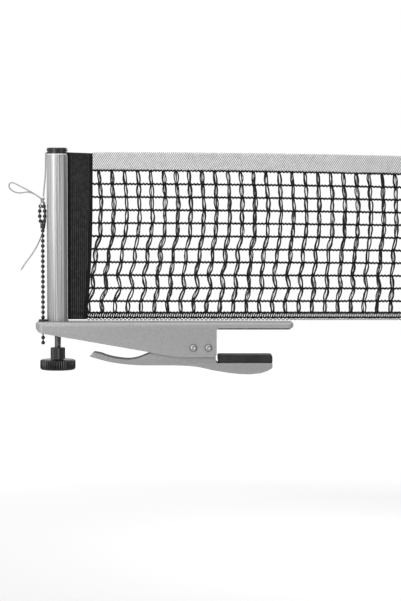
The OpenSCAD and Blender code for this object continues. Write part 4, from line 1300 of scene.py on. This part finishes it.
def make_knob():
    """Hand wheel and hub in one moulding, both with pointed ribs, hollow for the screw."""
    low, high = limits("screw_knob")
    wheel_r, wheel_h, wheel_ribs = (high.x - low.x) / 2, 8.9, 42
    hub_r, hub_ribs, points_per_rib = 6.35, 22, 6
    bore_r, bore_z = 3.0, low.z + 2
    dish_r, dish_z = 0.62 * wheel_r, low.z + 1.4
    foot, shoulder, lid = low.z, low.z + wheel_h, high.z

    def ribbed(radius, count, depth):
        if not depth:
            return radius
        return lambda turn: radius - depth * abs(2 * (turn / tau * count % 1) - 1) ** 1.6

    wheel = [
        (0.8, 0.3, foot + 0.3), (0.15, 0.75, foot + 1.1), (0, 0.85, foot + 1.6),
        (0, 0.85, shoulder - 1.4), (0.2, 0.75, shoulder - 0.8), (1.0, 0.3, shoulder - 0.2),
    ]
    hub = [
        (-0.05, 0.1, shoulder + 0.4), (0, 0.4, shoulder + 1.1), (0, 0.4, lid - 0.9),
        (0.2, 0.2, lid - 0.2),
    ]
    profile = [
        (0, dish_z), (dish_r, dish_z), (dish_r, foot + 0.2), (dish_r + 0.2, foot),
        (wheel_r - 1.5, foot),
        *((ribbed(wheel_r - inset, wheel_ribs, depth), z) for inset, depth, z in wheel),
        (wheel_r - 1.6, shoulder), (hub_r + 0.5, shoulder),
        *((ribbed(hub_r - inset, hub_ribs, depth), z) for inset, depth, z in hub),
        (hub_r - 0.6, lid), (bore_r, lid), (bore_r, bore_z), (0, bore_z),
    ]
    sides = wheel_ribs * points_per_rib
    knob = lathe("ribbed_knob", profile, sides, KNOB_BLACK, 24, POST_X)
    carry(knob, "screw_knob")


# ---- Spring, post lip and rigid pieces ----

WIRE = 2.2
SPRING_R = 6.5
SPRING_TURNS = 5
STEPS_PER_TURN = 30
UPPER_LEG, LOWER_LEG = 140, 208


def make_spring():
    """Torsion spring of round wire, with a leg at each end."""
    low, high = limits("torsion_spring")
    start = LOWER_LEG - 270
    sweep = UPPER_LEG - 90 + 360 * SPRING_TURNS - start
    width = (WIRE + 0.6) * sweep / 360
    count = round(sweep / 360 * STEPS_PER_TURN)
    coil = []
    for share in shares(count):
        turn = radians(start + sweep * share)
        y = (share - 0.5) * width
        coil.append(PIVOT + spot(SPRING_R * cos(turn), y, SPRING_R * sin(turn)))

    def leg(point, degrees, z):
        slope = radians(degrees)
        reach = (z - point.z) / sin(slope)
        return point + reach * spot(cos(slope), 0, sin(slope))

    first = leg(coil[0], LOWER_LEG, low.z + WIRE / 2)
    last = leg(coil[-1], UPPER_LEG, high.z - WIRE / 2)
    spring = strands("wire_spring", [[first, *coil, last]], WIRE / 2, 14, SPRING_STEEL, 60)
    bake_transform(spring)
    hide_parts("torsion_spring")


LIP_R, LIP_FOOT, LIP_STEP = 0.42, 9, 0.5
SLOT_HALF = 2.9


def make_post_lip():
    """Rolled lip, painted near-white as a highlight: up along the slot, round its top corner and
    along the tube's rim.
    """
    corner, top = 3.0, POST_TOP - 0.5
    first = -asin(SLOT_HALF / POST_R)

    def at(turn, z):
        return spot(POST_X + POST_R * cos(turn), POST_R * sin(turn), z)

    rise = int((top - corner - LIP_FOOT) / LIP_STEP)
    path = [at(first, LIP_FOOT + LIP_STEP * i) for i in range(rise)]
    for bend in (pi / 2 * share for share in shares(8)):
        turn = first - corner * (1 - cos(bend)) / POST_R
        path.append(at(turn, top - corner * (1 - sin(bend))))
    start = first - corner / POST_R
    path += [at(start - radians(4 * i), top) for i in range(1, 36)]
    lip = strands("post_lip", [path], LIP_R, 8, LIP_PAINTED_HIGHLIGHT)
    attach(lip, "post")


# Node, material, width of its rounded edges and the steps across them.
RIGID = [
    ("clamp_body", BODY_PAINT, 0.35, 3),
    ("lever_arm", LEVER_PAINT, 0.3, 2),
    ("jaw_pad_upper", PAD_RUBBER, 0.4, 3),
    ("jaw_pad_lower", PAD_RUBBER, 0.6, 3),
    ("pivot_bush", BUSH_STEEL, 0.15, 2),
    ("pivot_washers", NYLON_BLACK, 0.1, 2),
    ("screw_bridge", BUSH_STEEL, 0.2, 2),
    ("post_guide", NYLON_BLACK, 0.2, 2),
    ("chain_lock", LOCK_BLACK, 0.2, 2),
    ("chain_coupling", CHAIN_STEEL, 0.12, 2),
    ("post_tube", ALUMINIUM, 0.18, 2),
    ("post_cap", CAP_BLACK, 0.25, 3),
    ("post_foot", NYLON_BLACK, 0.2, 2),
    ("net_rod", ROD_WHITE, 0.3, 2),
    ("far_rod", ROD_WHITE, 0.3, 2),
    ("screw_clip", SPRING_STEEL, 0.1, 1),
]


# ---- Floor, light and air ----

FLOOR_HALF, FLOOR_Z, FLOOR_TONE = 4000, -300, 246
PAPER_NEAR, PAPER_FAR = 0.42, 1.53
GLOW_NEAR, GLOW_FAR = 0.05, 0.66


def paper(name, tone):
    """Pale matt paper, seen white where the lamps don't reach, and seen through from below."""
    finish = Finish(name, 0.9)
    finish.colour(finish.effect(GRAIN, Size=400.0, Depth=2.0), (0.0, tone - 3), (1.0, tone))
    tree = finish.tree
    feeds = {0: finish.place}
    reach = output_of(tree, "VectorMath", feeds, "Value", operation="LENGTH")
    unlit = moved(tree, reach, PAPER_NEAR, PAPER_FAR, GLOW_NEAR, GLOW_FAR)
    seen = output_of(tree, "LightPath", output="Is Camera Ray")
    feeds = {"Strength": math_node(tree, "MULTIPLY", seen, unlit)}
    glow = output_of(tree, "Emission", feeds)
    feeds = {0: finish.shader.outputs["BSDF"], 1: glow}
    lit = output_of(tree, "AddShader", feeds)
    below = output_of(tree, "NewGeometry", output="Backfacing")
    clear = output_of(tree, "BsdfTransparent")
    both = output_of(tree, "MixShader", {0: below, 1: lit, 2: clear})
    tree.links.new(both, tree.nodes["Material Output"].inputs["Surface"])
    return finish.material


def make_floor():
    corners = [(-1, -1), (1, -1), (1, 1), (-1, 1)]
    points = [spot(x * FLOOR_HALF, y * FLOOR_HALF, FLOOR_Z) * MM for x, y in corners]
    mesh = bpy.data.meshes.new("floor")
    mesh.from_pydata(points, [], [(0, 1, 2, 3)])
    mesh.materials.append(paper("floor paper", FLOOR_TONE))
    new_object("floor", mesh)


AMBIENT = 0.42
MIRROR_LEFT, MIRROR_RIGHT = 1.0, 0.34
LEFT_END, RIGHT_END = -0.9, 1.0


def make_world():
    """White room for the eye, dimmer as a light; its mirror image darkens to the right."""
    world = bpy.data.worlds.new("studio")
    bpy.context.scene.world = world
    world.use_nodes = True
    tree = world.node_tree
    ray = add_node(tree, "LightPath").outputs
    around = output_of(tree, "TexCoord", output="Generated")
    side = output_of(tree, "SeparateXYZ", {"Vector": around}, "X")
    mirrored = moved(tree, side, LEFT_END, RIGHT_END, MIRROR_LEFT, MIRROR_RIGHT)
    seen = math_node(tree, "MAXIMUM", ray["Is Camera Ray"], ray["Is Transmission Ray"])
    feeds = {"Factor": ray["Is Glossy Ray"], "A": AMBIENT, "B": mirrored}
    plain = output_of(tree, "Mix", feeds, "Result")
    feeds = {"Factor": seen, "A": plain, "B": 1.0}
    background = tree.nodes["Background"]
    background.inputs["Color"].default_value = (1, 1, 1, 1)
    tree.links.new(output_of(tree, "Mix", feeds, "Result"), background.inputs["Strength"])


# Name, place, the point it faces, width, height and power in watts.
LAMPS = [
    ("key", (-520, -620, 230), (-60, 0, 40), 380, 900, 3.1),
    ("top", (-40, -60, 760), (-40, 0, 0), 700, 420, 3.0),
    ("fill", (560, -520, 160), (0, 0, 60), 500, 500, 0.9),
    ("back", (380, 700, 380), (0, 0, 60), 520, 520, 3.4),
]


def make_lamp(name, place, aim, width, height, power):
    light = bpy.data.lights.new(name, "AREA")
    light.shape = "RECTANGLE"
    light.size, light.size_y = width * MM, height * MM
    light.energy = power
    lamp = new_object(name, light)
    lamp.location = Vector(place) * MM
    lamp.rotation_euler = (Vector(aim) - Vector(place)).to_track_quat("-Z", "Y").to_euler()
    lamp.visible_camera = False


# ---- Everything ----

make_chain()
make_cords()
make_whole_net()
make_near_sleeve()
make_far_sleeve()
make_tape()
make_rivet("pivot_rivet")
make_rivet("stop_rivet")
make_screw()
make_knob()
make_spring()
make_post_lip()
for rigid in RIGID:
    dressed(*rigid)
make_floor()
make_world()
for values in LAMPS:
    make_lamp(*values)

bpy.context.scene.view_settings.view_transform = "Standard"
